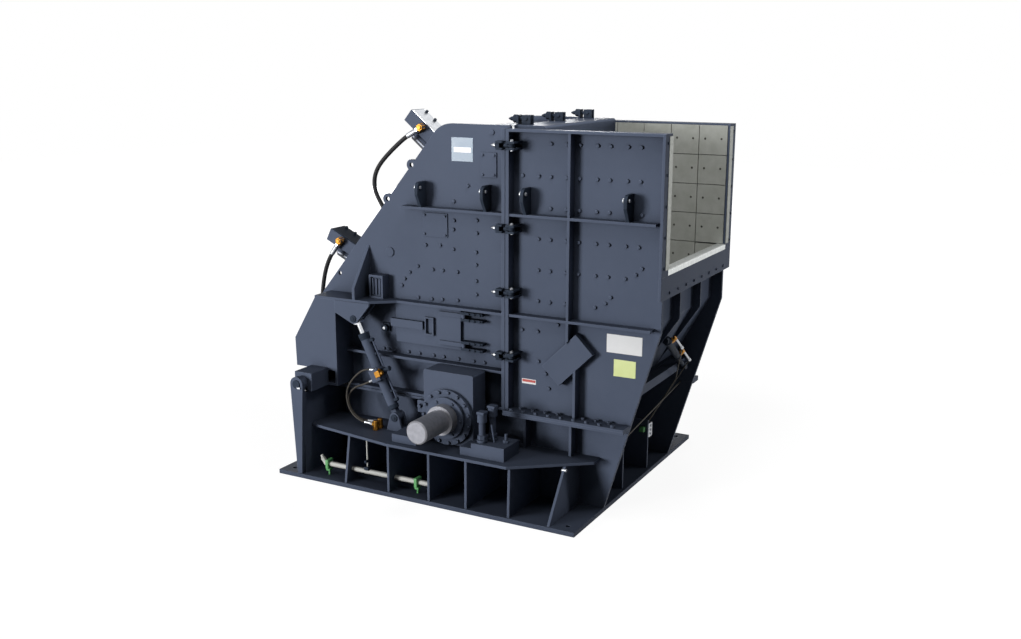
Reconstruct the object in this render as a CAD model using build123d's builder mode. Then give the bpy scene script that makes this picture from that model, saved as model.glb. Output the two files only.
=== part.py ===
from build123d import *
import os
from math import atan2, cos, degrees, hypot, radians, sin, tan

# Impact crusher with a hinged rear frame, in millimetres.
# +X is the feed end, -Y the drive side, +Z up, origin at the centre of the base's underside.

# Overrun by which every cut passes the faces it opens
overrun = 20.0

# Clearances between pieces that move
running_clearance = 0.3
frame_gap = 6.0
side_gap = 20.0

# Base frame, open in the middle for the crushed stone
base_length = 3840.0
base_width = 3500.0
base_thick = 50.0
discharge_rear_share = 0.365
discharge_feed_clearance = 159.0
base_lip = 20.0
anchor_inset = 130.0
anchor_hole_radius = 26.0

# Side plates of the housing
wall_outer = 1000.0
wall_thick = 40.0
parting_z = 1000.0
housing_top = 4070.0
split_x = 770.0
feed_x = 2510.0
feed_knee_z = 2060.0
lower_wall_rear_x = -1480.0

# Flat bar that stiffens the side plates
bar_thick = 28.0
bar_depth = 112.0
flange_depth = 180.0
post_thick = 40.0
post_depth = 120.0
upper_bar_share = 0.712
middle_bar_z = 2100.0
rear_bar_z = 1448.0
upper_bar_feed_gap = 50.0
middle_bar_feed_gap = 74.0
upright_x = 1506.0
lower_upright_x = 1597.0
upper_bar_rear_x = -560.0

# Slanting cover plate over the break between the two uprights
cover_x = 1500.0
cover_z = 1665.0
cover_length = 550.0
cover_width = 280.0
cover_thick = 88.0
cover_angle = 45.0

# Bench beside the lower frame, its fins and the gussets above it
bench_top = 620.0
bench_thick = 30.0
bench_edge_margin = 10.0
bench_rear_x = -1560.0
bench_rear_taper = 184.0
bench_full_rear_x = -380.0
bench_full_feed_x = 1120.0
bench_feed_inset = 50.0
bench_feed_depth = 160.0
fin_thick = 28.0
fin_foot_margin = 20.0
fin_top_inset = 14.0
fin_shares = (-0.505, -0.198, 0.078, 0.323, 0.594, 0.84)
flange_gusset_places = (1020.0, 1570.0)
flange_gusset_depth = 130.0

# Pipe that runs through the rear fins
pipe_radius = 30.0
pipe_depth = 600.0
pipe_z = 185.0
pipe_rear_x = -1330.0
pipe_feed_x = 110.0

# Cross walls of the lower frame
cross_wall_thick = 40.0
feed_fin_half_spacing = 375.0
feed_fin_inset = 40.0
feed_fin_top_z = 640.0

# Rotor and its shaft
shaft_x = 220.0
shaft_z = 940.0
rotor_radius = 800.0
rotor_body_radius = 690.0
rotor_neck_radius = 520.0
rotor_side_gap = 40.0
blow_bar_count = 4
blow_bar_thick = 120.0
blow_bar_depth = 330.0
shaft_drive_reach = 2060.0
shaft_drive_radius = 130.0
shaft_collar_reach = 1600.0
shaft_collar_radius = 165.0
journal_radius = 150.0
shaft_far_reach = 1380.0
shaft_middle_radius = 200.0
wall_notch_radius = 260.0

# Bearing housings on the bench
bearing_width = 630.0
bearing_top = 1440.0
bearing_depth = 270.0
bearing_foot_height = 90.0
bearing_foot_rear = 600.0
bearing_foot_feed = 750.0
bearing_foot_inner = 280.0
bearing_foot_depth = 500.0
bearing_pad_inner = 420.0
bearing_pad_feed = 820.0
bearing_pad_height = 150.0
bearing_pad_depth = 340.0
bearing_flange_radius = 314.0
bearing_flange_thick = 45.0
bearing_ring_radius = 235.0
bearing_ring_thick = 35.0
bearing_cap_thick = 40.0
bearing_fillet = 24.0

# Pivot of the rear frame
pivot_x = -1620.0
pivot_z = 1130.0
pivot_pin_radius = 45.0
pivot_tube_radius = 80.0
bracket_plate_thick = 50.0
bracket_edge_margin = 10.0
bracket_head_radius = 88.0
bracket_foot_width = 64.0
bracket_web_thick = 40.0
bracket_web_top = 1025.0
rear_plate_top = 980.0

# Outline of the rear frame's side plates
hood_rise = 30.0
hood_corner_x = -91.0
hood_bend_radius = 300.0
slope_low_x = -1754.0
slope_low_z = 2082.0
back_knee_x = -1950.0
back_knee_z = 1560.0
back_low_x = -1940.0
ear_radius = 62.0
ear_hole_radius = 26.0
ear_shares = (0.768, 0.571)
slope_hole_radius = 24.0
slope_hole_share = 0.118
slope_hole_inset = 54.0

# Hood plates set in between the rear side plates
hood_thick = 30.0
hood_inset = 60.0
back_inset = 60.0

# Shelf, arm boxes and gussets on the rear frame
shelf_depth = 320.0
shelf_rear_x = -1640.0
shelf_full_x = -880.0
shelf_bend_x = -630.0
arm_feed_x = -1350.0
arm_floor_z = 1220.0
arm_sole_z = 1040.0
arm_plate_thick = 30.0
arm_hub_rear = 100.0
arm_hub_feed = 140.0
arm_hub_top_z = 1250.0
arm_hub_gap = 55.0
shelf_gusset_x = -1087.0
shelf_gusset_thick = 36.0
shelf_gusset_top = 2690.0
shelf_gusset_lip = 134.0
shelf_box_x = -905.0
shelf_box_length = 190.0
shelf_box_height = 270.0
shelf_box_depth = 130.0
shelf_box_wall = 24.0

# Opening cylinders, one on each side
cylinder_y = 1260.0
cylinder_low_x = -555.0
cylinder_low_z = 775.0
cylinder_high_x = -1090.0
cylinder_high_z = 1880.0
barrel_radius = 58.0
barrel_bore_radius = 44.0
barrel_start = 105.0
barrel_end = 1030.0
rod_radius = 33.0
rod_tail = 260.0
eye_radius = 58.0
eye_width = 70.0
cylinder_pin_radius = 30.0
open_pivot_clearance = 16.0
cheek_gap = 5.0
cheek_thick = 30.0
cheek_radius = 60.0
clevis_foot_length = 200.0
shelf_bracket_feed_x = -870.0
shelf_bracket_low_z = 1930.0
rod_eye_radius = 76.0

# Inspection doors in the rear side plates
door_hinge_x = 220.0
door_free_x = -700.0
door_low_z = 1603.0
door_high_z = 2062.0
door_thick = 30.0
door_seat_gap = 5.0
door_overlap = 40.0
door_hinge_radius = 26.0
door_hinge_stand = 62.0
door_pin_radius = 12.0
door_knuckle_height = 28.0
door_knuckle_gap = 2.0
door_hinge_offset = 58.0
door_hinge_height = 44.0
door_leaf_length = 250.0
door_hinge_inset = 62.0
door_strap_length = 330.0
door_strap_thick = 22.0
door_handle_x = -294.0
door_handle_width = 117.0
door_handle_height = 209.0
door_handle_bar = 16.0
door_handle_reach = 30.0
door_latch_x = -745.0
door_latch_length = 432.0
door_latch_height = 90.0
door_latch_thick = 44.0

# Feed end
feed_flange_thick = 30.0
feed_flange_inner = 930.0
sill_top = 2650.0
sill_low = 2410.0
wear_bar_height = 60.0
wear_bar_depth = 110.0
chute_thick = 60.0
chute_low_gap = 10.0
chute_low_z = 1180.0
skirt_thick = 30.0
skirt_inset = 130.0
skirt_knee_z = 2080.0
skirt_low_z = 1350.0
skirt_slope = 0.55
feed_rib_half_spacing = 330.0
feed_rib_thick = 28.0
feed_rib_depth = 90.0
feed_beam_x = 2130.0
feed_beam_z = 1270.0
feed_beam_width = 130.0
feed_beam_height = 100.0
jack_radius = 42.0
jack_rod_radius = 26.0
jack_barrel_share = 0.62
jack_pin_radius = 36.0
jack_rib_gap = 12.0
jack_top_z = 1806.0
jack_top_stand = 76.0
jack_foot_y = 707.0
jack_foot_stand = 35.0
jack_bracket_half = 40.0

# Liner plates on the inner faces of the feed box
liner_thick = 40.0
liner_pitch = 336.0
liner_joint = 8.0
liner_top_gap = 20.0
liner_rows = 5
liner_columns = 5

# Cross beam over the front of the hood
top_beam_length = 370.0
top_beam_height = 170.0
top_beam_lift = 30.0

# Swing bolts that clamp the rear frame to the feed box
latch_shares = (0.945, 0.661, 0.435, 0.207)
latch_top_half_spacing = 780.0
latch_ear_length = 96.0
latch_ear_thick = 22.0
latch_ear_gap = 44.0
latch_ear_depth = 100.0
latch_nut_radius = 44.0
latch_nut_thick = 50.0
latch_offset = 58.0
latch_side_offset = 140.0
latch_side_depth = 190.0

# Lifting lugs over the upper bar
lug_thick = 36.0
lug_height = 280.0
lug_depth = 190.0
lug_foot_depth = 112.0
lug_corner_radius = 70.0
lug_front_places = (1000.0, 2160.0)
lug_rear_places = (-300.0, 520.0)

# Impact aprons that hang inside the rear frame
apron_thick = 110.0
apron_half_length = 890.0
upper_apron_top_x = 560.0
upper_apron_drop = 380.0
upper_apron_tip_gap = 130.0
upper_apron_tip_angle = 118.0
lower_apron_top_x = -760.0
lower_apron_top_z = 2420.0
lower_apron_tip_gap = 70.0
lower_apron_tip_angle = 158.0
apron_pivot_radius = 70.0

# Apron adjusters on the slope, one to each apron, near the drive side
adjuster_y = 620.0
upper_adjuster_x = -296.0
upper_adjuster_angle = 39.5
lower_adjuster_x = -1390.0
lower_adjuster_angle = 26.0
adjuster_block_length = 440.0
adjuster_block_width = 270.0
adjuster_block_height = 150.0
adjuster_block_stand = 110.0
adjuster_sleeve_radius = 80.0
adjuster_jack_radius = 48.0
adjuster_jack_length = 300.0
adjuster_jack_drop = 140.0

# Hose fittings: an elbow on each adjuster, a valve block on the near barrel, two elbows on the bench
elbow_radius = 38.0
elbow_reach = 86.0
ferrule_radius = 26.0
ferrule_length = 189.0
valve_share = 0.434
valve_length = 140.0
valve_width = 120.0
valve_offset = 55.0
valve_reach = 1440.0
thin_ferrule_radius = 14.0
valve_ferrule_length = 100.0
bench_ferrule_length = 143.0
bench_elbow_radius = 26.0
bench_elbow_height = 104.0

# Hoses: radii, and routes of points chosen by hand, as x, y, z
hose_radius = 20.0
thin_hose_radius = 11.0
upper_hose_route = (
    (-635.0, -800.0, 3940.0),
    (-715.0, -800.0, 3895.0),
    (-1000.0, -800.0, 3650.0),
    (-1110.0, -800.0, 3490.0),
    (-1125.0, -800.0, 3330.0),
    (-1060.0, -800.0, 3180.0),
    (-900.0, -800.0, 2963.0),
)
lower_hose_route = (
    (-1751.0, -800.0, 2514.0),
    (-1805.0, -800.0, 2442.0),
    (-1880.0, -800.0, 2260.0),
    (-1925.0, -800.0, 2030.0),
    (-1925.0, -800.0, 1900.0),
    (-1885.0, -800.0, 1805.0),
    (-1798.0, -800.0, 1705.0),
)
valve_hose_route = (
    (-813.0, -1400.0, 1332.0),
    (-900.0, -1400.0, 1330.0),
    (-1040.0, -1400.0, 1225.0),
    (-1150.0, -1400.0, 1075.0),
    (-1168.0, -1400.0, 930.0),
    (-1115.0, -1400.0, 790.0),
    (-1000.0, -1400.0, 700.0),
    (-905.0, -1400.0, 690.0),
)
return_hose_route = (
    (-822.0, -1400.0, 1192.0),
    (-920.0, -1385.0, 1140.0),
    (-1060.0, -1365.0, 1085.0),
    (-1150.0, -1365.0, 1000.0),
    (-1172.0, -1365.0, 890.0),
    (-1110.0, -1365.0, 765.0),
    (-1000.0, -1350.0, 695.0),
    (-905.0, -1335.0, 690.0),
)
hose_corner_share = 0.45

# Values worked out from the sizes above
half_length = base_length / 2
half_width = base_width / 2
discharge_rear_x = -discharge_rear_share * base_length
discharge_feed_x = shaft_x + rotor_radius + discharge_feed_clearance
bench_feed_x = half_length - bench_feed_inset
feed_fin_x = half_length - feed_fin_inset
chute_low_x = discharge_feed_x + chute_low_gap
upper_bar_z = parting_z + upper_bar_share * (housing_top - parting_z)
latch_heights = [parting_z + share * (housing_top - parting_z) for share in latch_shares]
hood_top = housing_top + hood_rise
wall_inner = wall_outer - wall_thick
discharge_half_width = wall_inner - base_lip
bench_under = bench_top - bench_thick
front_x = split_x + frame_gap / 2
rear_x = split_x - frame_gap / 2
rear_sole_z = parting_z + frame_gap
slope_dx = hood_corner_x - slope_low_x
slope_dz = hood_top - slope_low_z
slope_angle = degrees(atan2(slope_dz, slope_dx))
slope_unit = Vector(slope_dx, slope_dz).normalized()
ear_heights = [slope_low_z + share * slope_dz for share in ear_shares]
slope_hole_z = slope_low_z + slope_hole_share * slope_dz
upper_apron_top_z = hood_top - upper_apron_drop
bearing_inner = wall_outer + post_depth + side_gap
bearing_outer = bearing_inner + bearing_depth
cylinder_angle = degrees(atan2(cylinder_high_z - cylinder_low_z, cylinder_high_x - cylinder_low_x))
cylinder_length = hypot(cylinder_high_x - cylinder_low_x, cylinder_high_z - cylinder_low_z)
cheek_inner = eye_width / 2 + cheek_gap
chute_angle = atan2(sill_top - chute_low_z, feed_x - chute_low_x)
chute_rise = chute_thick / cos(chute_angle)

os.makedirs("parts", exist_ok=True)


def write(piece, name):
    """Label a finished piece and write it as its own file."""
    piece.part.label = name
    export_step(piece.part, f"parts/{name}.step")


def side_plate(points, y_from, thickness):
    """Add an upright plate seen from the side, from y_from towards +Y."""
    with BuildSketch(Plane.XZ.offset(-y_from)) as outline:
        with BuildLine():
            Polyline(*points, close=True)
        make_face()
    extrude(outline.sketch, amount=-thickness)


def cross_plate(points, x_from, thickness):
    """Add an upright plate seen from the end, from x_from towards +X."""
    with BuildSketch(Plane.YZ.offset(x_from)) as outline:
        with BuildLine():
            Polyline(*points, close=True)
        make_face()
    extrude(outline.sketch, amount=thickness)


def level_plate(points, z_from, thickness):
    """Add a level plate seen from above, from z_from upwards."""
    with BuildSketch(Plane.XY.offset(z_from)) as outline:
        with BuildLine():
            Polyline(*points, close=True)
        make_face()
    extrude(outline.sketch, amount=thickness)


def block(x_low, x_high, y_low, y_high, z_low, z_high, mode=Mode.ADD):
    """Add or cut a square block between two corners."""
    with Locations(((x_low + x_high) / 2, (y_low + y_high) / 2, (z_low + z_high) / 2)):
        Box(x_high - x_low, y_high - y_low, z_high - z_low, mode=mode)


def round_bar(start, end, radius, mode=Mode.ADD):
    """Add or cut a round bar between two points."""
    along = Vector(*end) - Vector(*start)
    with BuildSketch(Plane(origin=start, z_dir=along)) as section:
        Circle(radius)
    extrude(section.sketch, amount=along.length, mode=mode)


def wall_edge_x(z):
    """Feed edge of the side plates at a height below the knee."""
    share = (z - base_thick) / (feed_knee_z - base_thick)
    return half_length + share * (feed_x - half_length)


def slope_x(z):
    """Edge of the rear side plates' slope at a height."""
    return slope_low_x + (z - slope_low_z) * slope_dx / slope_dz


def bench_edge(x):
    """Distance of the bench's free edge from the mid-plane."""
    full = half_width - bench_edge_margin
    if x < bench_full_rear_x:
        share = (bench_full_rear_x - x) / (bench_full_rear_x - bench_rear_x)
        return full - share * bench_rear_taper
    if x > bench_full_feed_x:
        share = (x - bench_full_feed_x) / (bench_feed_x - bench_full_feed_x)
        return full - share * (full - wall_outer - bench_feed_depth)
    return full


def chute_under(x):
    """Underside of the feed chute at x."""
    return chute_low_z + (x - chute_low_x) * tan(chute_angle) - chute_rise


def rotor_point(angle, gap):
    """Point at a gap outside the rotor's swing, by its angle from the feed end."""
    reach = rotor_radius + gap
    return shaft_x + reach * cos(radians(angle)), shaft_z + reach * sin(radians(angle))


# Base plates
with BuildPart() as base_side_plates:
    with BuildSketch():
        with Locations((0, -(half_width + discharge_half_width) / 2)):
            Rectangle(base_length, half_width - discharge_half_width)
        with Locations((0, -(half_width - anchor_inset))):
            with GridLocations(base_length - 2 * anchor_inset, 0, 2, 1):
                Circle(anchor_hole_radius, mode=Mode.SUBTRACT)
    extrude(amount=base_thick)
    mirror(about=Plane.XZ)
write(base_side_plates, "base_side_plates")

with BuildPart() as base_end_plates:
    block(-half_length, discharge_rear_x, -discharge_half_width, discharge_half_width, 0, base_thick)
    block(discharge_feed_x, half_length, -discharge_half_width, discharge_half_width, 0, base_thick)
write(base_end_plates, "base_end_plates")

# Benches and the fins that carry them
with BuildPart() as benches:
    level_plate(
        [
            (bench_rear_x, -wall_outer),
            (bench_rear_x, -bench_edge(bench_rear_x)),
            (bench_full_rear_x, -bench_edge(bench_full_rear_x)),
            (bench_full_feed_x, -bench_edge(bench_full_feed_x)),
            (bench_feed_x, -bench_edge(bench_feed_x)),
            (bench_feed_x, -wall_outer),
        ],
        bench_under,
        bench_thick,
    )
    mirror(about=Plane.XZ)
write(benches, "benches")

with BuildPart() as bench_fins:
    for fin_share in fin_shares:
        fin_x = fin_share * half_length
        fin_foot = half_width - fin_foot_margin
        fin_top = bench_edge(fin_x) - fin_top_inset
        cross_plate(
            [
                (-wall_outer, base_thick),
                (-fin_foot, base_thick),
                (-fin_top, bench_under),
                (-wall_outer, bench_under),
            ],
            fin_x - fin_thick / 2,
            fin_thick,
        )
    mirror(about=Plane.XZ)
    pipe_y = -(wall_outer + pipe_depth)
    pipe_hole_radius = pipe_radius + running_clearance
    round_bar((pipe_rear_x, pipe_y, pipe_z), (pipe_feed_x, pipe_y, pipe_z), pipe_hole_radius, Mode.SUBTRACT)
write(bench_fins, "bench_fins")

with BuildPart() as service_pipe:
    round_bar((pipe_rear_x, pipe_y, pipe_z), (pipe_feed_x, pipe_y, pipe_z), pipe_radius)
write(service_pipe, "service_pipe")

# Lower frame: side walls notched for the shaft, cross walls and the flange at the parting line
with BuildPart() as lower_side_walls:
    side_plate(
        [
            (lower_wall_rear_x, base_thick),
            (half_length, base_thick),
            (wall_edge_x(parting_z), parting_z),
            (lower_wall_rear_x, parting_z),
        ],
        -wall_outer,
        wall_thick,
    )
    round_bar(
        (shaft_x, -wall_outer - overrun, shaft_z),
        (shaft_x, -wall_inner + overrun, shaft_z),
        wall_notch_radius,
        Mode.SUBTRACT,
    )
    mirror(about=Plane.XZ)
write(lower_side_walls, "lower_side_walls")

with BuildPart() as lower_cross_walls:
    rear_wall_x = discharge_rear_x - cross_wall_thick
    block(rear_wall_x, discharge_rear_x, -wall_inner, wall_inner, base_thick, parting_z)
    feed_wall_x = discharge_feed_x + cross_wall_thick
    side_plate(
        [
            (discharge_feed_x, base_thick),
            (feed_wall_x, base_thick),
            (feed_wall_x, chute_under(feed_wall_x)),
            (discharge_feed_x, chute_under(discharge_feed_x)),
        ],
        -wall_inner,
        2 * wall_inner,
    )
write(lower_cross_walls, "lower_cross_walls")

with BuildPart() as feed_base_fins:
    for fin_y in (-feed_fin_half_spacing, feed_fin_half_spacing):
        side_plate(
            [
                (feed_wall_x, base_thick),
                (feed_fin_x, base_thick),
                (feed_fin_x, feed_fin_top_z),
                (feed_wall_x, feed_fin_top_z),
            ],
            fin_y - fin_thick / 2,
            fin_thick,
        )
write(feed_base_fins, "feed_base_fins")

flange_feed_x = wall_edge_x(parting_z)
with BuildPart() as lower_flanges:
    flange_z = parting_z - bar_thick
    block(
        lower_wall_rear_x,
        shaft_x - wall_notch_radius,
        -wall_outer - bar_depth,
        -wall_outer,
        flange_z,
        parting_z,
    )
    block(split_x, flange_feed_x, -wall_outer - flange_depth, -wall_outer, flange_z, parting_z)
    for gusset_x in flange_gusset_places:
        block(
            gusset_x - bar_thick / 2,
            gusset_x + bar_thick / 2,
            -wall_outer - flange_gusset_depth,
            -wall_outer,
            bench_top,
            flange_z,
        )
    mirror(about=Plane.XZ)
write(lower_flanges, "lower_flanges")

# Brackets that carry the rear frame's pivot pins, with the rear plate between them
with BuildPart() as pivot_brackets:
    bracket_outer = half_width - bracket_edge_margin
    bracket_inner = bracket_outer - bracket_plate_thick
    with BuildSketch(Plane.XZ.offset(bracket_outer)):
        with Locations((pivot_x, pivot_z)):
            Circle(bracket_head_radius)
        with Locations((pivot_x, base_thick + bracket_foot_width / 2)):
            Rectangle(bracket_foot_width, bracket_foot_width)
        make_hull()
    extrude(amount=-bracket_plate_thick)
    for web_outer, web_inner, web_top in (
        (bracket_inner, wall_outer, bracket_web_top),
        (wall_outer, 0, rear_plate_top),
    ):
        block(
            bench_rear_x - bracket_web_thick,
            bench_rear_x,
            -web_outer,
            -web_inner,
            base_thick,
            web_top,
        )
    round_bar(
        (pivot_x, -bracket_outer, pivot_z), (pivot_x, -wall_outer - shelf_depth, pivot_z), pivot_pin_radius
    )
    mirror(about=Plane.XZ)
write(pivot_brackets, "pivot_brackets")

# Clevises on the bench for the opening cylinders
with BuildPart() as cylinder_clevises:
    for cheek_y in (-cylinder_y - cheek_inner - cheek_thick, -cylinder_y + cheek_inner):
        with BuildSketch(Plane.XZ.offset(-cheek_y)) as cheek:
            with Locations((cylinder_low_x, cylinder_low_z)):
                Circle(cheek_radius)
            with Locations((cylinder_low_x, bench_top + bar_thick / 2)):
                Rectangle(clevis_foot_length, bar_thick)
            make_hull()
        extrude(cheek.sketch, amount=-cheek_thick)
    cheek_span = cheek_inner + cheek_thick
    block(
        cylinder_low_x - clevis_foot_length / 2,
        cylinder_low_x + clevis_foot_length / 2,
        -cylinder_y - cheek_span,
        -cylinder_y + cheek_span,
        bench_top,
        bench_top + bar_thick,
    )
    round_bar(
        (cylinder_low_x, -cylinder_y - cheek_span, cylinder_low_z),
        (cylinder_low_x, -cylinder_y + cheek_span, cylinder_low_z),
        cylinder_pin_radius,
    )
    mirror(about=Plane.XZ)
write(cylinder_clevises, "cylinder_clevises")


# Bearing housings: two feet, a hold-down pad, a block with the journal bore and a bolted ring
def bearing_casting():
    """Add the drive side's bearing housing without its ring."""
    half_bearing = bearing_width / 2
    block(
        shaft_x - half_bearing,
        shaft_x + half_bearing,
        -bearing_outer,
        -bearing_inner,
        bench_top,
        bearing_top,
    )
    edges_up = edges().filter_by(Axis.Y).group_by(Axis.Z)[-1]
    fillet(edges_up, bearing_fillet)
    for foot_low, foot_high in (
        (shaft_x - bearing_foot_rear, shaft_x - bearing_foot_inner),
        (shaft_x + bearing_foot_inner, shaft_x + bearing_foot_feed),
    ):
        block(
            foot_low,
            foot_high,
            -bearing_inner - bearing_foot_depth,
            -bearing_inner,
            bench_top,
            bench_top + bearing_foot_height,
        )
    block(
        shaft_x + bearing_pad_inner,
        shaft_x + bearing_pad_feed,
        -bearing_inner - bearing_foot_depth,
        -bearing_inner - bearing_foot_depth + bearing_pad_depth,
        bench_top,
        bench_top + bearing_pad_height,
    )
    ring_face = bearing_outer + bearing_flange_thick
    round_bar(
        (shaft_x, -bearing_inner, shaft_z), (shaft_x, -ring_face, shaft_z), bearing_flange_radius
    )
    round_bar(
        (shaft_x, -bearing_inner, shaft_z),
        (shaft_x, -ring_face - bearing_ring_thick, shaft_z),
        bearing_ring_radius,
    )


bearing_face = bearing_outer + bearing_flange_thick + bearing_ring_thick
with BuildPart() as bearing_near:
    bearing_casting()
    round_bar(
        (shaft_x, -bearing_inner + overrun, shaft_z),
        (shaft_x, -bearing_face - overrun, shaft_z),
        journal_radius + running_clearance,
        Mode.SUBTRACT,
    )
write(bearing_near, "bearing_near")

with BuildPart() as bearing_far:
    bearing_casting()
    mirror(about=Plane.XZ, mode=Mode.REPLACE)
    round_bar(
        (shaft_x, bearing_inner - overrun, shaft_z),
        (shaft_x, bearing_face - bearing_cap_thick, shaft_z),
        journal_radius + running_clearance,
        Mode.SUBTRACT,
    )
write(bearing_far, "bearing_far")

# Rotor shaft, turned in one piece
with BuildPart() as rotor_shaft:
    with BuildSketch(Plane.YZ.offset(shaft_x)):
        with BuildLine():
            Polyline(
                (-shaft_drive_reach, shaft_z),
                (-shaft_drive_reach, shaft_z + shaft_drive_radius),
                (-shaft_collar_reach, shaft_z + shaft_drive_radius),
                (-shaft_collar_reach, shaft_z + shaft_collar_radius),
                (-bearing_face - running_clearance, shaft_z + shaft_collar_radius),
                (-bearing_face - running_clearance, shaft_z + journal_radius),
                (-wall_outer, shaft_z + journal_radius),
                (-wall_outer, shaft_z + shaft_collar_radius),
                (-wall_inner + rotor_side_gap, shaft_z + shaft_collar_radius),
                (-wall_inner + rotor_side_gap, shaft_z + shaft_middle_radius),
                (wall_inner - rotor_side_gap, shaft_z + shaft_middle_radius),
                (wall_inner - rotor_side_gap, shaft_z + shaft_collar_radius),
                (wall_outer, shaft_z + shaft_collar_radius),
                (wall_outer, shaft_z + journal_radius),
                (shaft_far_reach, shaft_z + journal_radius),
                (shaft_far_reach, shaft_z),
                close=True,
            )
        make_face()
    revolve(axis=Axis((shaft_x, 0, shaft_z), (0, 1, 0)))
    chamfer(edges().filter_by(GeomType.CIRCLE).group_by(Axis.Y)[0], bar_thick / 2)
write(rotor_shaft, "rotor_shaft")

# Rotor body: lobes that back each blow bar, with a slot that the bar stands in
rotor_half = wall_inner - liner_thick - rotor_side_gap
rotor_plane = Plane(origin=(shaft_x, rotor_half, shaft_z), x_dir=(1, 0, 0), z_dir=(0, -1, 0))
bar_inner = rotor_radius - blow_bar_depth
with BuildPart() as rotor_body:
    with BuildSketch(rotor_plane):
        Circle(rotor_neck_radius)
        with PolarLocations(0, blow_bar_count):
            Polygon(
                (0, blow_bar_thick / 2),
                (rotor_body_radius, blow_bar_thick / 2),
                (rotor_body_radius, -blow_bar_thick / 2),
                (rotor_body_radius - blow_bar_thick, -blow_bar_thick * 2),
                (0, -rotor_neck_radius),
                align=None,
            )
        with PolarLocations(bar_inner + blow_bar_depth / 2, blow_bar_count):
            Rectangle(blow_bar_depth, blow_bar_thick, mode=Mode.SUBTRACT)
        Circle(shaft_middle_radius, mode=Mode.SUBTRACT)
    extrude(amount=2 * rotor_half)
write(rotor_body, "rotor_body")

with BuildPart() as blow_bars:
    with BuildSketch(rotor_plane):
        with PolarLocations(bar_inner + blow_bar_depth / 2, blow_bar_count):
            Rectangle(blow_bar_depth, blow_bar_thick)
    extrude(amount=2 * rotor_half)
write(blow_bars, "blow_bars")

# Feed box: side plates and the bars that stiffen them
with BuildPart() as front_side_walls:
    side_plate(
        [
            (front_x, parting_z),
            (wall_edge_x(parting_z), parting_z),
            (feed_x, feed_knee_z),
            (feed_x, housing_top),
            (front_x, housing_top),
        ],
        -wall_outer,
        wall_thick,
    )
    mirror(about=Plane.XZ)
write(front_side_walls, "front_side_walls")

post_front_x = front_x + post_thick
with BuildPart() as front_bars:
    for bar_top, bar_feed_x in (
        (upper_bar_z, feed_x - upper_bar_feed_gap),
        (middle_bar_z, feed_x - middle_bar_feed_gap),
    ):
        block(post_front_x, bar_feed_x, -wall_outer - bar_depth, -wall_outer, bar_top - bar_thick, bar_top)
    block(
        post_front_x, feed_x, -wall_outer - post_depth, -wall_outer, housing_top - bar_thick, housing_top
    )
    block(
        front_x, flange_feed_x, -wall_outer - flange_depth, -wall_outer, parting_z, parting_z + bar_thick
    )
    mirror(about=Plane.XZ)
write(front_bars, "front_bars")


def cover_edge_z(x, side):
    """Height of the slanting cover's long edge at x, above (1) or below (-1) its middle."""
    half_height = cover_width / 2 / cos(radians(cover_angle))
    return cover_z + (x - cover_x) * tan(radians(cover_angle)) + side * half_height


with BuildPart() as front_uprights:
    upright_low = upright_x - bar_thick / 2
    upright_high = upright_x + bar_thick / 2
    for upright_from, upright_to in (
        (upper_bar_z, housing_top - bar_thick),
        (middle_bar_z, upper_bar_z - bar_thick),
    ):
        block(upright_low, upright_high, -wall_outer - bar_depth, -wall_outer, upright_from, upright_to)
    side_plate(
        [
            (upright_low, cover_edge_z(upright_low, 1)),
            (upright_high, cover_edge_z(upright_high, 1)),
            (upright_high, middle_bar_z - bar_thick),
            (upright_low, middle_bar_z - bar_thick),
        ],
        -wall_outer - bar_depth,
        bar_depth,
    )
    lower_low = lower_upright_x - bar_thick / 2
    lower_high = lower_upright_x + bar_thick / 2
    side_plate(
        [
            (lower_low, parting_z + bar_thick),
            (lower_high, parting_z + bar_thick),
            (lower_high, cover_edge_z(lower_high, -1)),
            (lower_low, cover_edge_z(lower_low, -1)),
        ],
        -wall_outer - bar_depth,
        bar_depth,
    )
    block(
        front_x, post_front_x, -wall_outer - post_depth, -wall_outer, parting_z + bar_thick, housing_top
    )
    mirror(about=Plane.XZ)
write(front_uprights, "front_uprights")

with BuildPart() as slanting_covers:
    with BuildSketch(Plane.XZ.offset(wall_outer)):
        with Locations(Location((cover_x, cover_z), cover_angle)):
            Rectangle(cover_length, cover_width)
    extrude(amount=cover_thick)
    mirror(about=Plane.XZ)
write(slanting_covers, "slanting_covers")

# Feed opening: flanges, sill and the wear bar on it
flange_face_x = feed_x + feed_flange_thick
with BuildPart() as feed_flanges:
    block(feed_x, flange_face_x, -wall_outer - post_depth, -feed_flange_inner, sill_top, housing_top)
    mirror(about=Plane.XZ)
write(feed_flanges, "feed_flanges")

with BuildPart() as sill_plate:
    block(feed_x, flange_face_x, -wall_outer - post_depth, wall_outer + post_depth, sill_low, sill_top)
write(sill_plate, "sill_plate")

with BuildPart() as wear_bar:
    block(
        flange_face_x - wear_bar_depth,
        flange_face_x,
        -feed_flange_inner,
        feed_flange_inner,
        sill_top,
        sill_top + wear_bar_height,
    )
    fillet(edges().filter_by(Axis.Y).group_by(Axis.Z)[-1], wear_bar_height / 4)
write(wear_bar, "wear_bar")

# Feed chute that slopes down to the rotor
with BuildPart() as feed_chute:
    side_plate(
        [
            (chute_low_x, chute_low_z),
            (feed_x, sill_top),
            (feed_x, chute_under(feed_x)),
            (discharge_feed_x, chute_under(discharge_feed_x)),
        ],
        -wall_inner,
        2 * wall_inner,
    )
write(feed_chute, "feed_chute")


def skirt_x(z, inset):
    """Face of the kinked skirt under the sill at a height."""
    face = feed_x - inset
    if z < skirt_knee_z:
        face -= (skirt_knee_z - z) * skirt_slope
    return face


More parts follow.
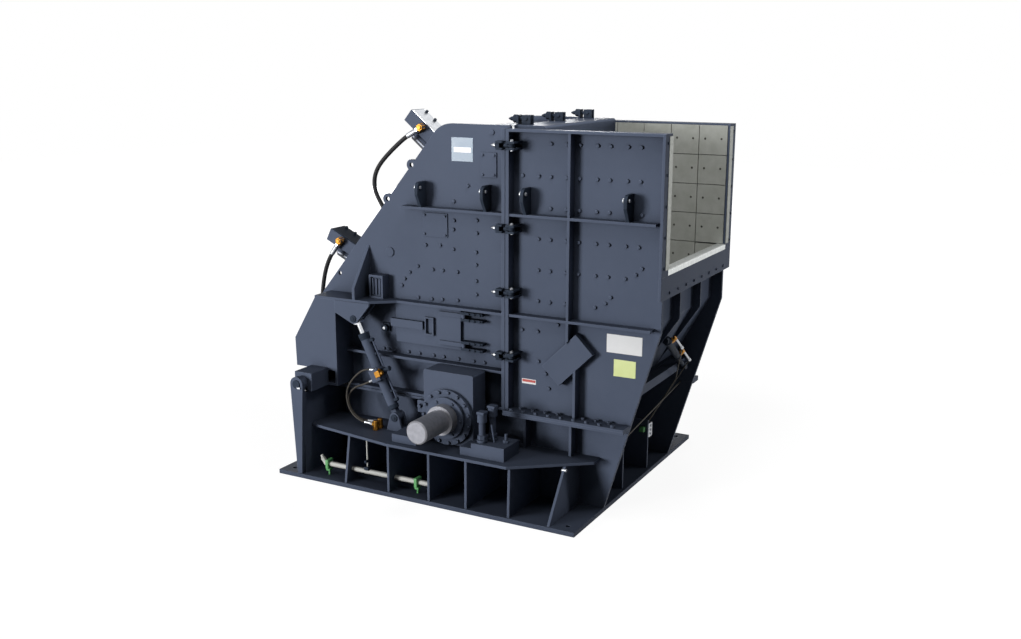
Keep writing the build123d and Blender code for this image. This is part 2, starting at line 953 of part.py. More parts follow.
skirt_top_x = skirt_x(sill_low, skirt_inset)
with BuildPart() as feed_skirt:
    side_plate(
        [
            (skirt_top_x, chute_under(skirt_top_x)),
            (skirt_top_x, skirt_knee_z),
            (skirt_x(skirt_low_z, skirt_inset), skirt_low_z),
            (skirt_x(skirt_low_z, skirt_inset) - skirt_thick, skirt_low_z),
            (skirt_top_x - skirt_thick, skirt_knee_z),
            (skirt_top_x - skirt_thick, chute_under(skirt_top_x - skirt_thick)),
        ],
        -wall_inner,
        2 * wall_inner,
    )
write(feed_skirt, "feed_skirt")

with BuildPart() as feed_ribs:
    for rib_y in (-feed_rib_half_spacing, feed_rib_half_spacing):
        side_plate(
            [
                (skirt_x(sill_low, skirt_inset), sill_low),
                (skirt_x(sill_low, skirt_inset - feed_rib_depth), sill_low),
                (skirt_x(skirt_knee_z, skirt_inset - feed_rib_depth), skirt_knee_z),
                (skirt_x(skirt_low_z, skirt_inset), skirt_low_z),
                (skirt_x(skirt_knee_z, skirt_inset), skirt_knee_z),
            ],
            rib_y - feed_rib_thick / 2,
            feed_rib_thick,
        )
write(feed_ribs, "feed_ribs")

with BuildPart() as feed_beam:
    block(
        feed_beam_x - feed_beam_width,
        feed_beam_x,
        -wall_inner,
        wall_inner,
        feed_beam_z - feed_beam_height / 2,
        feed_beam_z + feed_beam_height / 2,
    )
write(feed_beam, "feed_beam")

# Small jack under the sill, pinned to a feed rib at its top and held on the cross beam at its foot
jack_rib_face = -feed_rib_half_spacing + feed_rib_thick / 2
jack_top_y = jack_rib_face + jack_rib_gap + jack_radius
jack_top = Vector(skirt_x(jack_top_z, skirt_inset) + jack_top_stand, jack_top_y, jack_top_z)
jack_foot = Vector(feed_beam_x + jack_foot_stand, jack_foot_y, feed_beam_z)
jack_neck = jack_top + (jack_foot - jack_top) * jack_barrel_share
with BuildPart() as feed_jack:
    round_bar(tuple(jack_top), tuple(jack_neck), jack_radius)
    round_bar(tuple(jack_top), tuple(jack_foot), jack_rod_radius)
    round_bar((jack_top.X, jack_rib_face, jack_top_z), (jack_top.X, jack_top_y, jack_top_z), jack_pin_radius)
    block(
        feed_beam_x,
        jack_foot.X + jack_bracket_half,
        jack_foot_y - jack_bracket_half,
        jack_foot_y + jack_bracket_half,
        feed_beam_z - jack_bracket_half,
        feed_beam_z + jack_bracket_half,
    )
write(feed_jack, "feed_jack")

# Liner plates, one solid each, on the inner faces of the feed box
with BuildPart() as side_liners:
    liner_top = housing_top - liner_top_gap
    for column in range(liner_columns):
        liner_high_x = feed_x - column * liner_pitch
        liner_low_x = max(liner_high_x - liner_pitch + liner_joint, front_x)
        for row in range(liner_rows):
            liner_high_z = liner_top - row * liner_pitch
            liner_low_z = liner_high_z - liner_pitch + liner_joint
            if liner_low_z > chute_under(liner_high_x) + chute_rise:
                block(
                    liner_low_x,
                    liner_high_x,
                    -wall_inner,
                    -wall_inner + liner_thick,
                    liner_low_z,
                    liner_high_z,
                )
    mirror(about=Plane.XZ)
write(side_liners, "side_liners")

# Beam across the top, just ahead of the hood
beam_top = housing_top + top_beam_lift
with BuildPart() as top_beam:
    block(
        front_x,
        front_x + top_beam_length,
        -wall_inner + liner_thick,
        wall_inner - liner_thick,
        beam_top - top_beam_height,
        beam_top,
    )
    fillet(edges().filter_by(Axis.Y).group_by(Axis.Z)[-1].sort_by(Axis.X)[-1], top_beam_lift)
write(top_beam, "top_beam")

# Front halves of the swing-bolt latches: the two ears that hold the bolt's pin
latch_y = wall_outer + latch_side_offset
ear_half = latch_ear_gap / 2 + latch_ear_thick
with BuildPart() as latch_ears:
    for latch_z in latch_heights:
        for ear_z in (latch_z - ear_half, latch_z + latch_ear_gap / 2):
            block(
                post_front_x,
                post_front_x + latch_ear_length,
                -wall_outer - latch_side_depth,
                -wall_outer,
                ear_z,
                ear_z + latch_ear_thick,
            )
    mirror(about=Plane.XZ)
    for latch_at in (-latch_top_half_spacing, 0, latch_top_half_spacing):
        for ear_at in (latch_at - ear_half, latch_at + latch_ear_gap / 2):
            block(
                post_front_x,
                post_front_x + latch_ear_length,
                ear_at,
                ear_at + latch_ear_thick,
                beam_top,
                beam_top + latch_ear_depth,
            )
write(latch_ears, "latch_ears")


# Lifting lugs: plates that stand out of the side plates above the upper bar
def lifting_lugs(places):
    """Add the near side's lugs at the given places."""
    for lug_x in places:
        with BuildSketch(Plane.YZ.offset(lug_x - lug_thick / 2)) as lug:
            with BuildLine():
                Polyline(
                    (-wall_outer, upper_bar_z),
                    (-wall_outer - lug_foot_depth, upper_bar_z),
                    (-wall_outer - lug_depth, upper_bar_z + lug_height / 2),
                    (-wall_outer - lug_depth, upper_bar_z + lug_height),
                    (-wall_outer, upper_bar_z + lug_height),
                    close=True,
                )
            make_face()
            fillet(lug.vertices().sort_by(Axis.X)[:2].sort_by(Axis.Y)[-1], lug_corner_radius)
        extrude(lug.sketch, amount=lug_thick)
    mirror(about=Plane.XZ)


with BuildPart() as front_lugs:
    lifting_lugs(lug_front_places)
write(front_lugs, "front_lugs")

with BuildPart() as rear_lugs:
    lifting_lugs(lug_rear_places)
write(rear_lugs, "rear_lugs")

# Rear frame: side plates with the hood's outline, ears on the slope and the inspection opening
door_opening = (
    door_free_x + door_overlap,
    door_hinge_x - door_hinge_offset - door_overlap,
    door_low_z + door_overlap,
    door_high_z - door_overlap,
)


def rear_wall():
    """Add the drive side's rear side plate."""
    with BuildSketch(Plane.XZ.offset(wall_outer)) as outline:
        with BuildLine():
            Polyline(
                (rear_x, hood_top),
                (hood_corner_x, hood_top),
                (slope_low_x, slope_low_z),
                (back_knee_x, back_knee_z),
                (back_low_x, arm_sole_z),
                (arm_feed_x, rear_sole_z),
                (rear_x, rear_sole_z),
                close=True,
            )
        make_face()
        fillet(outline.vertices().sort_by(Axis.Y)[-2:].sort_by(Axis.X)[0], hood_bend_radius)
        for ear_z in ear_heights:
            with Locations((slope_x(ear_z), ear_z)):
                Circle(ear_radius)
        for ear_z in ear_heights:
            with Locations((slope_x(ear_z), ear_z)):
                Circle(ear_hole_radius, mode=Mode.SUBTRACT)
        with Locations((slope_x(slope_hole_z) + slope_hole_inset, slope_hole_z)):
            Circle(slope_hole_radius, mode=Mode.SUBTRACT)
        with Locations((shaft_x, shaft_z)):
            Circle(wall_notch_radius, mode=Mode.SUBTRACT)
        with Locations(((door_opening[0] + door_opening[1]) / 2, (door_opening[2] + door_opening[3]) / 2)):
            Rectangle(
                door_opening[1] - door_opening[0], door_opening[3] - door_opening[2], mode=Mode.SUBTRACT
            )
    extrude(outline.sketch, amount=-wall_thick)


with BuildPart() as rear_wall_near:
    rear_wall()
write(rear_wall_near, "rear_wall_near")

with BuildPart() as rear_wall_far:
    rear_wall()
    mirror(about=Plane.XZ, mode=Mode.REPLACE)
write(rear_wall_far, "rear_wall_far")

# Hood: a bent top plate, a straight slope plate and the kinked back plate below it
inset_corner_x = hood_corner_x + hood_inset * tan(radians(slope_angle / 2))
inset_top = hood_top - hood_inset
inner_corner_x = inset_corner_x + hood_thick * tan(radians(slope_angle / 2))
bend_tangent = hood_bend_radius * tan(radians(slope_angle / 2))
hood_joint = Vector(inset_corner_x, inset_top) - slope_unit * 2 * bend_tangent
slope_normal = Vector(-slope_unit.Y, slope_unit.X)
hood_joint_inner = hood_joint - slope_normal * hood_thick
slope_end = Vector(slope_low_x, slope_low_z) - slope_normal * hood_inset
slope_end_inner = slope_end - slope_normal * hood_thick
with BuildPart() as hood_top_plate:
    with BuildSketch(Plane.XZ.offset(wall_inner)) as hood_outline:
        with BuildLine():
            Polyline(
                (rear_x, inset_top),
                (inset_corner_x, inset_top),
                (hood_joint.X, hood_joint.Y),
                (hood_joint_inner.X, hood_joint_inner.Y),
                (inner_corner_x, inset_top - hood_thick),
                (rear_x, inset_top - hood_thick),
                close=True,
            )
        make_face()
        corners = hood_outline.vertices().sort_by_distance((inset_corner_x, inset_top))
        fillet(corners[0], hood_bend_radius - hood_inset)
        corners = hood_outline.vertices().sort_by_distance((inner_corner_x, inset_top - hood_thick))
        fillet(corners[0], hood_bend_radius - hood_inset - hood_thick)
    extrude(amount=-2 * wall_inner)
write(hood_top_plate, "hood_top_plate")

with BuildPart() as hood_slope_plate:
    side_plate(
        [
            (hood_joint.X, hood_joint.Y),
            (slope_end.X, slope_end.Y),
            (slope_end_inner.X, slope_end_inner.Y),
            (hood_joint_inner.X, hood_joint_inner.Y),
        ],
        -wall_inner,
        2 * wall_inner,
    )
write(hood_slope_plate, "hood_slope_plate")

with BuildPart() as rear_back_plate:
    side_plate(
        [
            (slope_end.X, slope_end.Y),
            (back_knee_x + back_inset, back_knee_z),
            (back_low_x + back_inset, arm_sole_z),
            (back_low_x + back_inset + hood_thick, arm_sole_z),
            (back_knee_x + back_inset + hood_thick, back_knee_z),
            (slope_end_inner.X, slope_end_inner.Y),
        ],
        -wall_inner,
        2 * wall_inner,
    )
write(rear_back_plate, "rear_back_plate")

# Bars and the wide shelf on the rear side plates
post_rear_x = rear_x - post_thick
with BuildPart() as rear_bars:
    block(
        upper_bar_rear_x,
        post_rear_x,
        -wall_outer - bar_depth,
        -wall_outer,
        upper_bar_z - bar_thick,
        upper_bar_z,
    )
    level_plate(
        [
            (shelf_rear_x, -wall_outer),
            (shelf_rear_x, -wall_outer - shelf_depth),
            (shelf_full_x, -wall_outer - shelf_depth),
            (shelf_bend_x, -wall_outer - bar_depth),
            (post_rear_x, -wall_outer - bar_depth),
            (post_rear_x, -wall_outer),
        ],
        middle_bar_z - bar_thick,
        bar_thick,
    )
    block(arm_feed_x, post_rear_x, -wall_outer - bar_depth, -wall_outer, rear_bar_z - bar_thick, rear_bar_z)
    for sole_low, sole_high in (
        (arm_feed_x, shaft_x - wall_notch_radius),
        (shaft_x + wall_notch_radius, post_rear_x),
    ):
        block(
            sole_low, sole_high, -wall_outer - bar_depth, -wall_outer, rear_sole_z, rear_sole_z + bar_thick
        )
    mirror(about=Plane.XZ)
write(rear_bars, "rear_bars")

with BuildPart() as rear_posts:
    block(post_rear_x, rear_x, -wall_outer - post_depth, -wall_outer, rear_sole_z, housing_top)
    mirror(about=Plane.XZ)
write(rear_posts, "rear_posts")

# Arm boxes that carry the rear frame on its pivots
with BuildPart() as arm_boxes:
    arm_face = wall_outer + shelf_depth
    side_plate(
        [
            (shelf_rear_x, middle_bar_z - bar_thick),
            (back_knee_x, back_knee_z),
            (back_low_x, arm_floor_z),
            (arm_feed_x, arm_floor_z),
            (arm_feed_x, middle_bar_z - bar_thick),
        ],
        -arm_face,
        shelf_depth,
    )
    block(
        pivot_x, arm_feed_x, -arm_face, -wall_outer, arm_sole_z, arm_sole_z + arm_plate_thick
    )
    block(arm_feed_x - arm_plate_thick, arm_feed_x, -arm_face, -wall_outer, arm_sole_z, arm_floor_z)
    tube_end = bracket_inner - frame_gap
    block(
        pivot_x - arm_hub_rear,
        pivot_x + arm_hub_feed,
        -bracket_inner + arm_hub_gap,
        -arm_face,
        arm_sole_z,
        arm_hub_top_z,
    )
    round_bar((pivot_x, -tube_end, pivot_z), (pivot_x, -wall_outer, pivot_z), pivot_tube_radius)
    round_bar(
        (pivot_x, -tube_end - overrun, pivot_z),
        (pivot_x, -arm_face + overrun, pivot_z),
        pivot_pin_radius + running_clearance,
        Mode.SUBTRACT,
    )
    mirror(about=Plane.XZ)
write(arm_boxes, "arm_boxes")

# Brackets under the shelf that the cylinder rods pull on
shelf_under = middle_bar_z - bar_thick
with BuildPart() as cylinder_brackets:
    for cheek_y in (-cylinder_y - cheek_inner - cheek_thick, -cylinder_y + cheek_inner):
        with BuildSketch(Plane.XZ.offset(-cheek_y)) as cheek:
            with Locations((cylinder_high_x, cylinder_high_z)):
                Circle(cheek_radius)
            with Locations(((arm_feed_x + shelf_bracket_feed_x) / 2, shelf_under - bar_thick / 2)):
                Rectangle(shelf_bracket_feed_x - arm_feed_x, bar_thick)
            with Locations((arm_feed_x + bar_thick / 2, (shelf_under + shelf_bracket_low_z) / 2)):
                Rectangle(bar_thick, shelf_under - shelf_bracket_low_z)
            make_hull()
        extrude(cheek.sketch, amount=-cheek_thick)
    round_bar(
        (cylinder_high_x, -cylinder_y - cheek_span, cylinder_high_z),
        (cylinder_high_x, -cylinder_y + cheek_span, cylinder_high_z),
        cylinder_pin_radius,
    )
    mirror(about=Plane.XZ)
write(cylinder_brackets, "cylinder_brackets")

# Gusset plates and channel boxes that stand on the shelf
with BuildPart() as shelf_gussets:
    cross_plate(
        [
            (-wall_outer, middle_bar_z),
            (-wall_outer - shelf_depth, middle_bar_z),
            (-wall_outer - shelf_depth, middle_bar_z + shelf_gusset_lip),
            (-wall_outer, shelf_gusset_top),
        ],
        shelf_gusset_x - shelf_gusset_thick / 2,
        shelf_gusset_thick,
    )
    box_low = shelf_box_x - shelf_box_length / 2
    box_high = shelf_box_x + shelf_box_length / 2
    box_top = middle_bar_z + shelf_box_height
    block(box_low, box_high, -wall_outer - shelf_box_depth, -wall_outer, middle_bar_z, box_top)
    block(
        box_low + shelf_box_wall,
        box_high - shelf_box_wall,
        -wall_outer - shelf_box_depth - overrun,
        -wall_outer - shelf_box_wall,
        middle_bar_z + shelf_box_wall,
        box_top - shelf_box_wall,
        Mode.SUBTRACT,
    )
    mirror(about=Plane.XZ)
write(shelf_gussets, "shelf_gussets")


# Impact aprons: thick plates hung from a pivot bar, each with its tip close to the rotor
def apron(top_x, top_z, tip_angle, tip_gap):
    """Add an apron from its pivot to its tip."""
    tip_x, tip_z = rotor_point(tip_angle, tip_gap)
    along = (Vector(tip_x, tip_z) - Vector(top_x, top_z)).normalized()
    back = Vector(along.Y, -along.X) * apron_thick
    side_plate(
        [
            (top_x, top_z),
            (tip_x, tip_z),
            (tip_x + back.X, tip_z + back.Y),
            (top_x + back.X, top_z + back.Y),
        ],
        -apron_half_length,
        2 * apron_half_length,
    )
    round_bar(
        (top_x + back.X / 2, -wall_inner, top_z + back.Y / 2),
        (top_x + back.X / 2, wall_inner, top_z + back.Y / 2),
        apron_pivot_radius,
    )


with BuildPart() as upper_apron:
    apron(upper_apron_top_x, upper_apron_top_z, upper_apron_tip_angle, upper_apron_tip_gap)
write(upper_apron, "upper_apron")

with BuildPart() as lower_apron:
    apron(lower_apron_top_x, lower_apron_top_z, lower_apron_tip_angle, lower_apron_tip_gap)
write(lower_apron, "lower_apron")


def ferrule(route, length, radius):
    """Add the end fitting that a hose's first run leaves, and give the point where it starts."""
    start = Vector(*route[0])
    port = start + (start - Vector(*route[1])).normalized() * length
    round_bar(tuple(port), tuple(start), radius)
    return port


# Apron adjusters: a sleeve through the slope, a crosshead block on it and a jack beside it
def adjuster(foot_x, angle, hose_route):
    """Add the adjuster of one apron, standing out of the slope on the near side, and its hose port."""
    foot_z = slope_low_z + (foot_x - slope_low_x) * slope_dz / slope_dx
    foot = Vector(foot_x, foot_z) - slope_normal * hood_inset
    outward = Plane(
        origin=(foot.X, -adjuster_y, foot.Y),
        x_dir=(0, -1, 0),
        z_dir=(-cos(radians(angle)), 0, sin(radians(angle))),
    )
    block_face = outward.offset(adjuster_block_stand)
    with BuildSketch(block_face) as crosshead:
        Rectangle(adjuster_block_width, adjuster_block_height)
    extrude(crosshead.sketch, amount=adjuster_block_length)
    with BuildSketch(outward.offset(-adjuster_sleeve_radius)) as sleeve:
        Circle(adjuster_sleeve_radius)
    extrude(sleeve.sketch, amount=adjuster_sleeve_radius + adjuster_block_stand)
    with BuildSketch(block_face) as jack:
        with Locations((0, -adjuster_jack_drop)):
            Circle(adjuster_jack_radius)
        with Locations((0, -adjuster_block_height / 2)):
            Rectangle(adjuster_jack_radius, adjuster_jack_drop)
    extrude(jack.sketch, amount=adjuster_jack_length)
    slope_face = Plane(origin=outward.origin, x_dir=(0, 1, 0), z_dir=(slope_normal.X, 0, slope_normal.Y))
    split(bisect_by=slope_face, keep=Keep.TOP)
    port = ferrule(hose_route, ferrule_length, ferrule_radius)
    block_side = adjuster_y + adjuster_block_width / 2
    round_bar((port.X, -block_side, port.Z), (port.X, -block_side - elbow_reach, port.Z), elbow_radius)


with BuildPart() as upper_adjusters:
    adjuster(upper_adjuster_x, upper_adjuster_angle, upper_hose_route)
write(upper_adjusters, "upper_adjusters")

with BuildPart() as lower_adjusters:
    adjuster(lower_adjuster_x, lower_adjuster_angle, lower_hose_route)
write(lower_adjusters, "lower_adjusters")

# Rear halves of the latches: the nut of each swing bolt, with a post for those on the hood
def latch_nut(face_x, y, z):
    """Add a hexagon nut on a face that looks to the rear."""
    with BuildSketch(Plane(origin=(face_x, y, z), z_dir=(-1, 0, 0))) as nut:
        RegularPolygon(latch_nut_radius, 6)
    extrude(nut.sketch, amount=latch_nut_thick)


latch_post_low = inset_top
with BuildPart() as latch_nuts:
    for latch_z in latch_heights:
        latch_nut(post_rear_x, -latch_y, latch_z)
    mirror(about=Plane.XZ)
    for latch_at in (-latch_top_half_spacing, 0, latch_top_half_spacing):
        block(
            rear_x - latch_ear_thick,
            rear_x,
            latch_at - ear_half,
            latch_at + ear_half,
            latch_post_low,
            beam_top + latch_ear_depth,
        )
        latch_nut(rear_x - latch_ear_thick, latch_at, beam_top + latch_offset)
write(latch_nuts, "latch_nuts")


# Opening cylinders: barrel on the bench clevis, rod to the bracket under the shelf
def cylinder_plane(side):
    """Plane across the cylinder's axis at its lower pin, near (-1) or far (1) side."""
    return Plane(
        origin=(cylinder_low_x, side * cylinder_y, cylinder_low_z),
        x_dir=(0, 1, 0),
        z_dir=(cos(radians(cylinder_angle)), 0, sin(radians(cylinder_angle))),
    )


def cylinder_barrel(side):
    """Add a barrel with its eye on the lower pin."""
    across = cylinder_plane(side)
    with BuildSketch(across.offset(barrel_start)) as tube:
        Circle(barrel_radius)
    extrude(tube.sketch, amount=barrel_end - barrel_start)
    with BuildSketch(across) as neck:
        Rectangle(eye_width, 2 * rod_radius)
    extrude(neck.sketch, amount=barrel_start)
    low_eye = (cylinder_low_x, side * cylinder_y - eye_width / 2, cylinder_low_z)
    high_eye = (cylinder_low_x, side * cylinder_y + eye_width / 2, cylinder_low_z)
    round_bar(low_eye, high_eye, eye_radius)
    round_bar(low_eye, high_eye, cylinder_pin_radius + running_clearance, Mode.SUBTRACT)
    with BuildSketch(across.offset(barrel_start + barrel_radius)) as bore:
        Circle(barrel_bore_radius)
    extrude(bore.sketch, amount=barrel_end - barrel_start, mode=Mode.SUBTRACT)
    with BuildSketch(across.offset(barrel_end - barrel_radius)) as gland:
        Circle(barrel_radius)
        Circle(rod_radius + running_clearance, mode=Mode.SUBTRACT)
    extrude(gland.sketch, amount=barrel_radius)


def cylinder_rod(side):
    """Add a rod with a piston end in the barrel and an eye round the upper pin."""
    across = cylinder_plane(side)
    with BuildSketch(across.offset(rod_tail)) as rod:
        Circle(rod_radius)
    extrude(rod.sketch, amount=cylinder_length - rod_tail - rod_eye_radius + rod_radius / 2)
    low_eye = (cylinder_high_x, side * cylinder_y - eye_width / 2, cylinder_high_z)
    high_eye = (cylinder_high_x, side * cylinder_y + eye_width / 2, cylinder_high_z)
    round_bar(low_eye, high_eye, rod_eye_radius)
    round_bar(low_eye, high_eye, cylinder_pin_radius + open_pivot_clearance, Mode.SUBTRACT)


with BuildPart() as barrel_near:
    cylinder_barrel(-1)
    valve_plane = cylinder_plane(-1).offset(valve_share * cylinder_length)
    with BuildSketch(valve_plane.offset(-valve_length / 2)) as valve:
        with Locations((cylinder_y - (valve_reach + cylinder_y + barrel_bore_radius) / 2, -valve_offset)):
            Rectangle(valve_reach - cylinder_y - barrel_bore_radius, valve_width)
    extrude(valve.sketch, amount=valve_length)
    for hose_route in (valve_hose_route, return_hose_route):
        ferrule(hose_route, valve_ferrule_length, thin_ferrule_radius)
write(barrel_near, "barrel_near")

with BuildPart() as barrel_far:
    cylinder_barrel(1)
write(barrel_far, "barrel_far")

with BuildPart() as rod_near:
    cylinder_rod(-1)
write(rod_near, "rod_near")

with BuildPart() as rod_far:
    cylinder_rod(1)
write(rod_far, "rod_far")


# Inspection doors with strap hinges, a loop handle and a latch arm
door_hinge_y = wall_outer + door_hinge_stand
door_straps = (door_low_z + door_hinge_inset, door_high_z - door_hinge_inset)
with BuildPart() as door_hinges:
    for strap_z in door_straps:
        pin_half = door_hinge_height / 2 + door_knuckle_gap + door_knuckle_height
        round_bar(
            (door_hinge_x, -door_hinge_y, strap_z - pin_half),
            (door_hinge_x, -door_hinge_y, strap_z + pin_half),
            door_pin_radius,
        )
        for knuckle_z in (strap_z - pin_half, strap_z + pin_half - door_knuckle_height):
            block(
                door_hinge_x - door_hinge_radius,
                door_hinge_x + door_leaf_length,
                -door_hinge_y - door_hinge_radius,
                -wall_outer,
                knuckle_z,
                knuckle_z + door_knuckle_height,
            )
    mirror(about=Plane.XZ)
write(door_hinges, "door_hinges")


def inspection_door():
    """Add the drive side's door."""
    door_back = wall_outer + door_seat_gap
    door_face = door_back + door_thick
    block(door_free_x, door_hinge_x - door_hinge_offset, -door_face, -door_back, door_low_z, door_high_z)
    for strap_z in door_straps:
        strap_low = strap_z - door_hinge_height / 2
        strap_high = strap_z + door_hinge_height / 2
        block(
            door_hinge_x - door_strap_length,
            door_hinge_x,
            -door_face - door_strap_thick,
            -door_face,
            strap_low,
            strap_high,
        )
        knuckle_low = (door_hinge_x, -door_hinge_y, strap_low)
        knuckle_high = (door_hinge_x, -door_hinge_y, strap_high)
        round_bar(knuckle_low, knuckle_high, door_hinge_radius)
        round_bar(knuckle_low, knuckle_high, door_pin_radius + running_clearance, Mode.SUBTRACT)
    handle_low = (door_low_z + door_high_z - door_handle_height) / 2
    handle_high = handle_low + door_handle_height
    for inset, mode in ((0, Mode.ADD), (door_handle_bar, Mode.SUBTRACT)):
        block(
            door_handle_x + inset,
            door_handle_x + door_handle_width - inset,
            -door_face - door_handle_reach,
            -door_face,
            handle_low + inset,
            handle_high - inset,
            mode,
        )
    latch_mid = (door_low_z + door_high_z) / 2
    block(
        door_latch_x,
        door_latch_x + door_latch_length,
        -door_face - door_latch_thick,
        -door_face,
        latch_mid - door_latch_height / 2,
        latch_mid + door_latch_height / 2,
    )


with BuildPart() as door_near:
    inspection_door()
write(door_near, "door_near")

with BuildPart() as door_far:
    inspection_door()
    mirror(about=Plane.XZ, mode=Mode.REPLACE)
write(door_far, "door_far")


# Hoses, and the elbows on the bench where the cylinder's two hoses end
def hose(route, radius):
    """Add a hose of straight runs and wide arcs, and print its tightest bend and its length."""
    points = [Vector(*point) for point in route]
    radii = []
    for before, corner, after in zip(points, points[1:], points[2:]):
        run = min((corner - before).length, (after - corner).length)
        turn = (corner - before).get_angle(after - corner)
        radii.append(hose_corner_share * run / tan(radians(turn / 2)))
    with BuildLine() as path:
        FilletPolyline(*points, radius=radii)
    centre_line = path.wire()
    print("tightest bend", min(radii), "length", centre_line.length)
    with BuildSketch(Plane(origin=centre_line @ 0, z_dir=centre_line % 0)) as section:
        Circle(radius)
    sweep(section.sketch, path=centre_line)


def plate_face(normal):
    """Outer face of the plate that a hose goes into, seen from outside."""
    origin = (slope_end.X, 0, slope_end.Y)
    return Plane(origin=origin, x_dir=(0, 1, 0), z_dir=(normal.X, 0, normal.Y))


with BuildPart() as upper_hose:
    hose(upper_hose_route, hose_radius)
    split(bisect_by=plate_face(slope_normal), keep=Keep.TOP)
write(upper_hose, "upper_hose")

back_unit = (slope_end - Vector(back_knee_x + back_inset, back_knee_z)).normalized()
with BuildPart() as lower_hose:
    hose(lower_hose_route, hose_radius)
    split(bisect_by=plate_face(Vector(-back_unit.Y, back_unit.X)), keep=Keep.TOP)
write(lower_hose, "lower_hose")

with BuildPart() as valve_hose:
    hose(valve_hose_route, thin_hose_radius)
write(valve_hose, "valve_hose")

with BuildPart() as return_hose:
    hose(return_hose_route, thin_hose_radius)
write(return_hose, "return_hose")

with BuildPart() as bench_elbows:
    for hose_route in (valve_hose_route, return_hose_route):
        port = ferrule(hose_route[::-1], bench_ferrule_length, thin_ferrule_radius)
        round_bar(
            (port.X, port.Y, bench_top),
            (port.X, port.Y, bench_top + bench_elbow_height),
            bench_elbow_radius,
        )
write(bench_elbows, "bench_elbows")
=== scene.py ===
# %% [markdown]
# # Dressing an impact crusher
# The solid model holds every plate, bar and shaft of the crusher, in metres and in its own frame. This
# lesson loads it as a fixed frame, gives each steel and rubber surface its finish, and adds the
# fasteners, fittings and hoses that make a welded machine look real. The crusher stands on the floor with
# its feed opening towards +X.

# %% Load the solid model
from math import cos, pi, radians, sin

import bmesh
import bpy
from mathutils import Matrix, Vector


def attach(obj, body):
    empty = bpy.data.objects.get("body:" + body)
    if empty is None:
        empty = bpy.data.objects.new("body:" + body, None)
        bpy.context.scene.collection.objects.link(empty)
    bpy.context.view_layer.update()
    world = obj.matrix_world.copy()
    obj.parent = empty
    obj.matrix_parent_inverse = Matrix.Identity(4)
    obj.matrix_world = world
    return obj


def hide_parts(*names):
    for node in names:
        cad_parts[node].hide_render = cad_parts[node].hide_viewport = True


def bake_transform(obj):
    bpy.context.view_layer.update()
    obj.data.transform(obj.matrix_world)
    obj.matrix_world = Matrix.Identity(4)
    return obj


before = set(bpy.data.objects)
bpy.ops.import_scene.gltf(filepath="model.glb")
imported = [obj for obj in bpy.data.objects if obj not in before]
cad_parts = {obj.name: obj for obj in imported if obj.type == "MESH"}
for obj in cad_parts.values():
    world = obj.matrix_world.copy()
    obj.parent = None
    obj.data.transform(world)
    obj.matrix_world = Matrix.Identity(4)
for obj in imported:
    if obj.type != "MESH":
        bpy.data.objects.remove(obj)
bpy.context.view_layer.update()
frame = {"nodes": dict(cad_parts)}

# %% [markdown]
# ## Camera
# The view looks down a little on the near side, with the feed opening at the right. The camera's place
# and lens were fitted to the straight edges of the machine, so a plain translation and three turns are
# enough and nothing has to be aimed by eye.

# %% Place the camera
camera = bpy.data.objects.new("camera", bpy.data.cameras.new("camera"))
camera.data.lens = 39.325
camera.data.clip_end = 200
camera.matrix_world = (
    Matrix.Translation((6.36868, -11.41680, 4.77132))
    @ Matrix.Rotation(radians(28.2392), 4, "Z")
    @ Matrix.Rotation(pi / 2 - radians(13.1272), 4, "X")
    @ Matrix.Rotation(radians(0.1246), 4, "Z")
)
bpy.context.collection.objects.link(camera)
bpy.context.scene.camera = camera
print("camera at", tuple(round(c, 2) for c in camera.location))

# %% [markdown]
# ## Helpers for finishes
# Every finish is a small node tree on a Principled shader. Colours are written as sRGB hex values, as on
# a paint chart, and turned to the linear values that Blender mixes. One function adds a node, sets it and
# links it, so each finish below reads as a short list of nodes. Patterns use Object coordinates, which
# are real metres here.

# %% Define the finish helpers
def linear(code):
    """Turn an sRGB hex colour into linear red, green, blue and alpha."""
    parts = [int(code[i:i + 2], 16) / 255 for i in (1, 3, 5)]
    return [p / 12.92 if p <= 0.04045 else ((p + 0.055) / 1.055) ** 2.4 for p in parts] + [1.0]


def add_node(tree, kind, settings=(), links=()):
    """Add one node, set its properties and sockets, and link other nodes' outputs into it."""
    node = tree.nodes.new(kind)
    for name, value in dict(settings).items():
        if isinstance(name, str) and hasattr(node, name):
            setattr(node, name, value)
        else:
            node.inputs[name].default_value = value
    for name, source in dict(links).items():
        tree.links.new(source, node.inputs[name])
    return node


def new_finish(name, **sockets):
    """Start a finish: give back its material, tree, shader and Object coordinates."""
    finish = bpy.data.materials.new(name)
    finish.use_nodes = True
    tree = finish.node_tree
    shader = tree.nodes["Principled BSDF"]
    for socket, value in sockets.items():
        shader.inputs[socket.replace("_", " ")].default_value = value
    place = add_node(tree, "ShaderNodeTexCoord").outputs["Object"]
    return finish, tree, shader, place


def connect(tree, shader, colour, roughness, normal):
    """Link a finish's colour, roughness and normal into its shader."""
    for socket, source in (("Base Color", colour), ("Roughness", roughness), ("Normal", normal)):
        tree.links.new(source, shader.inputs[socket])


print("finish helpers ready")
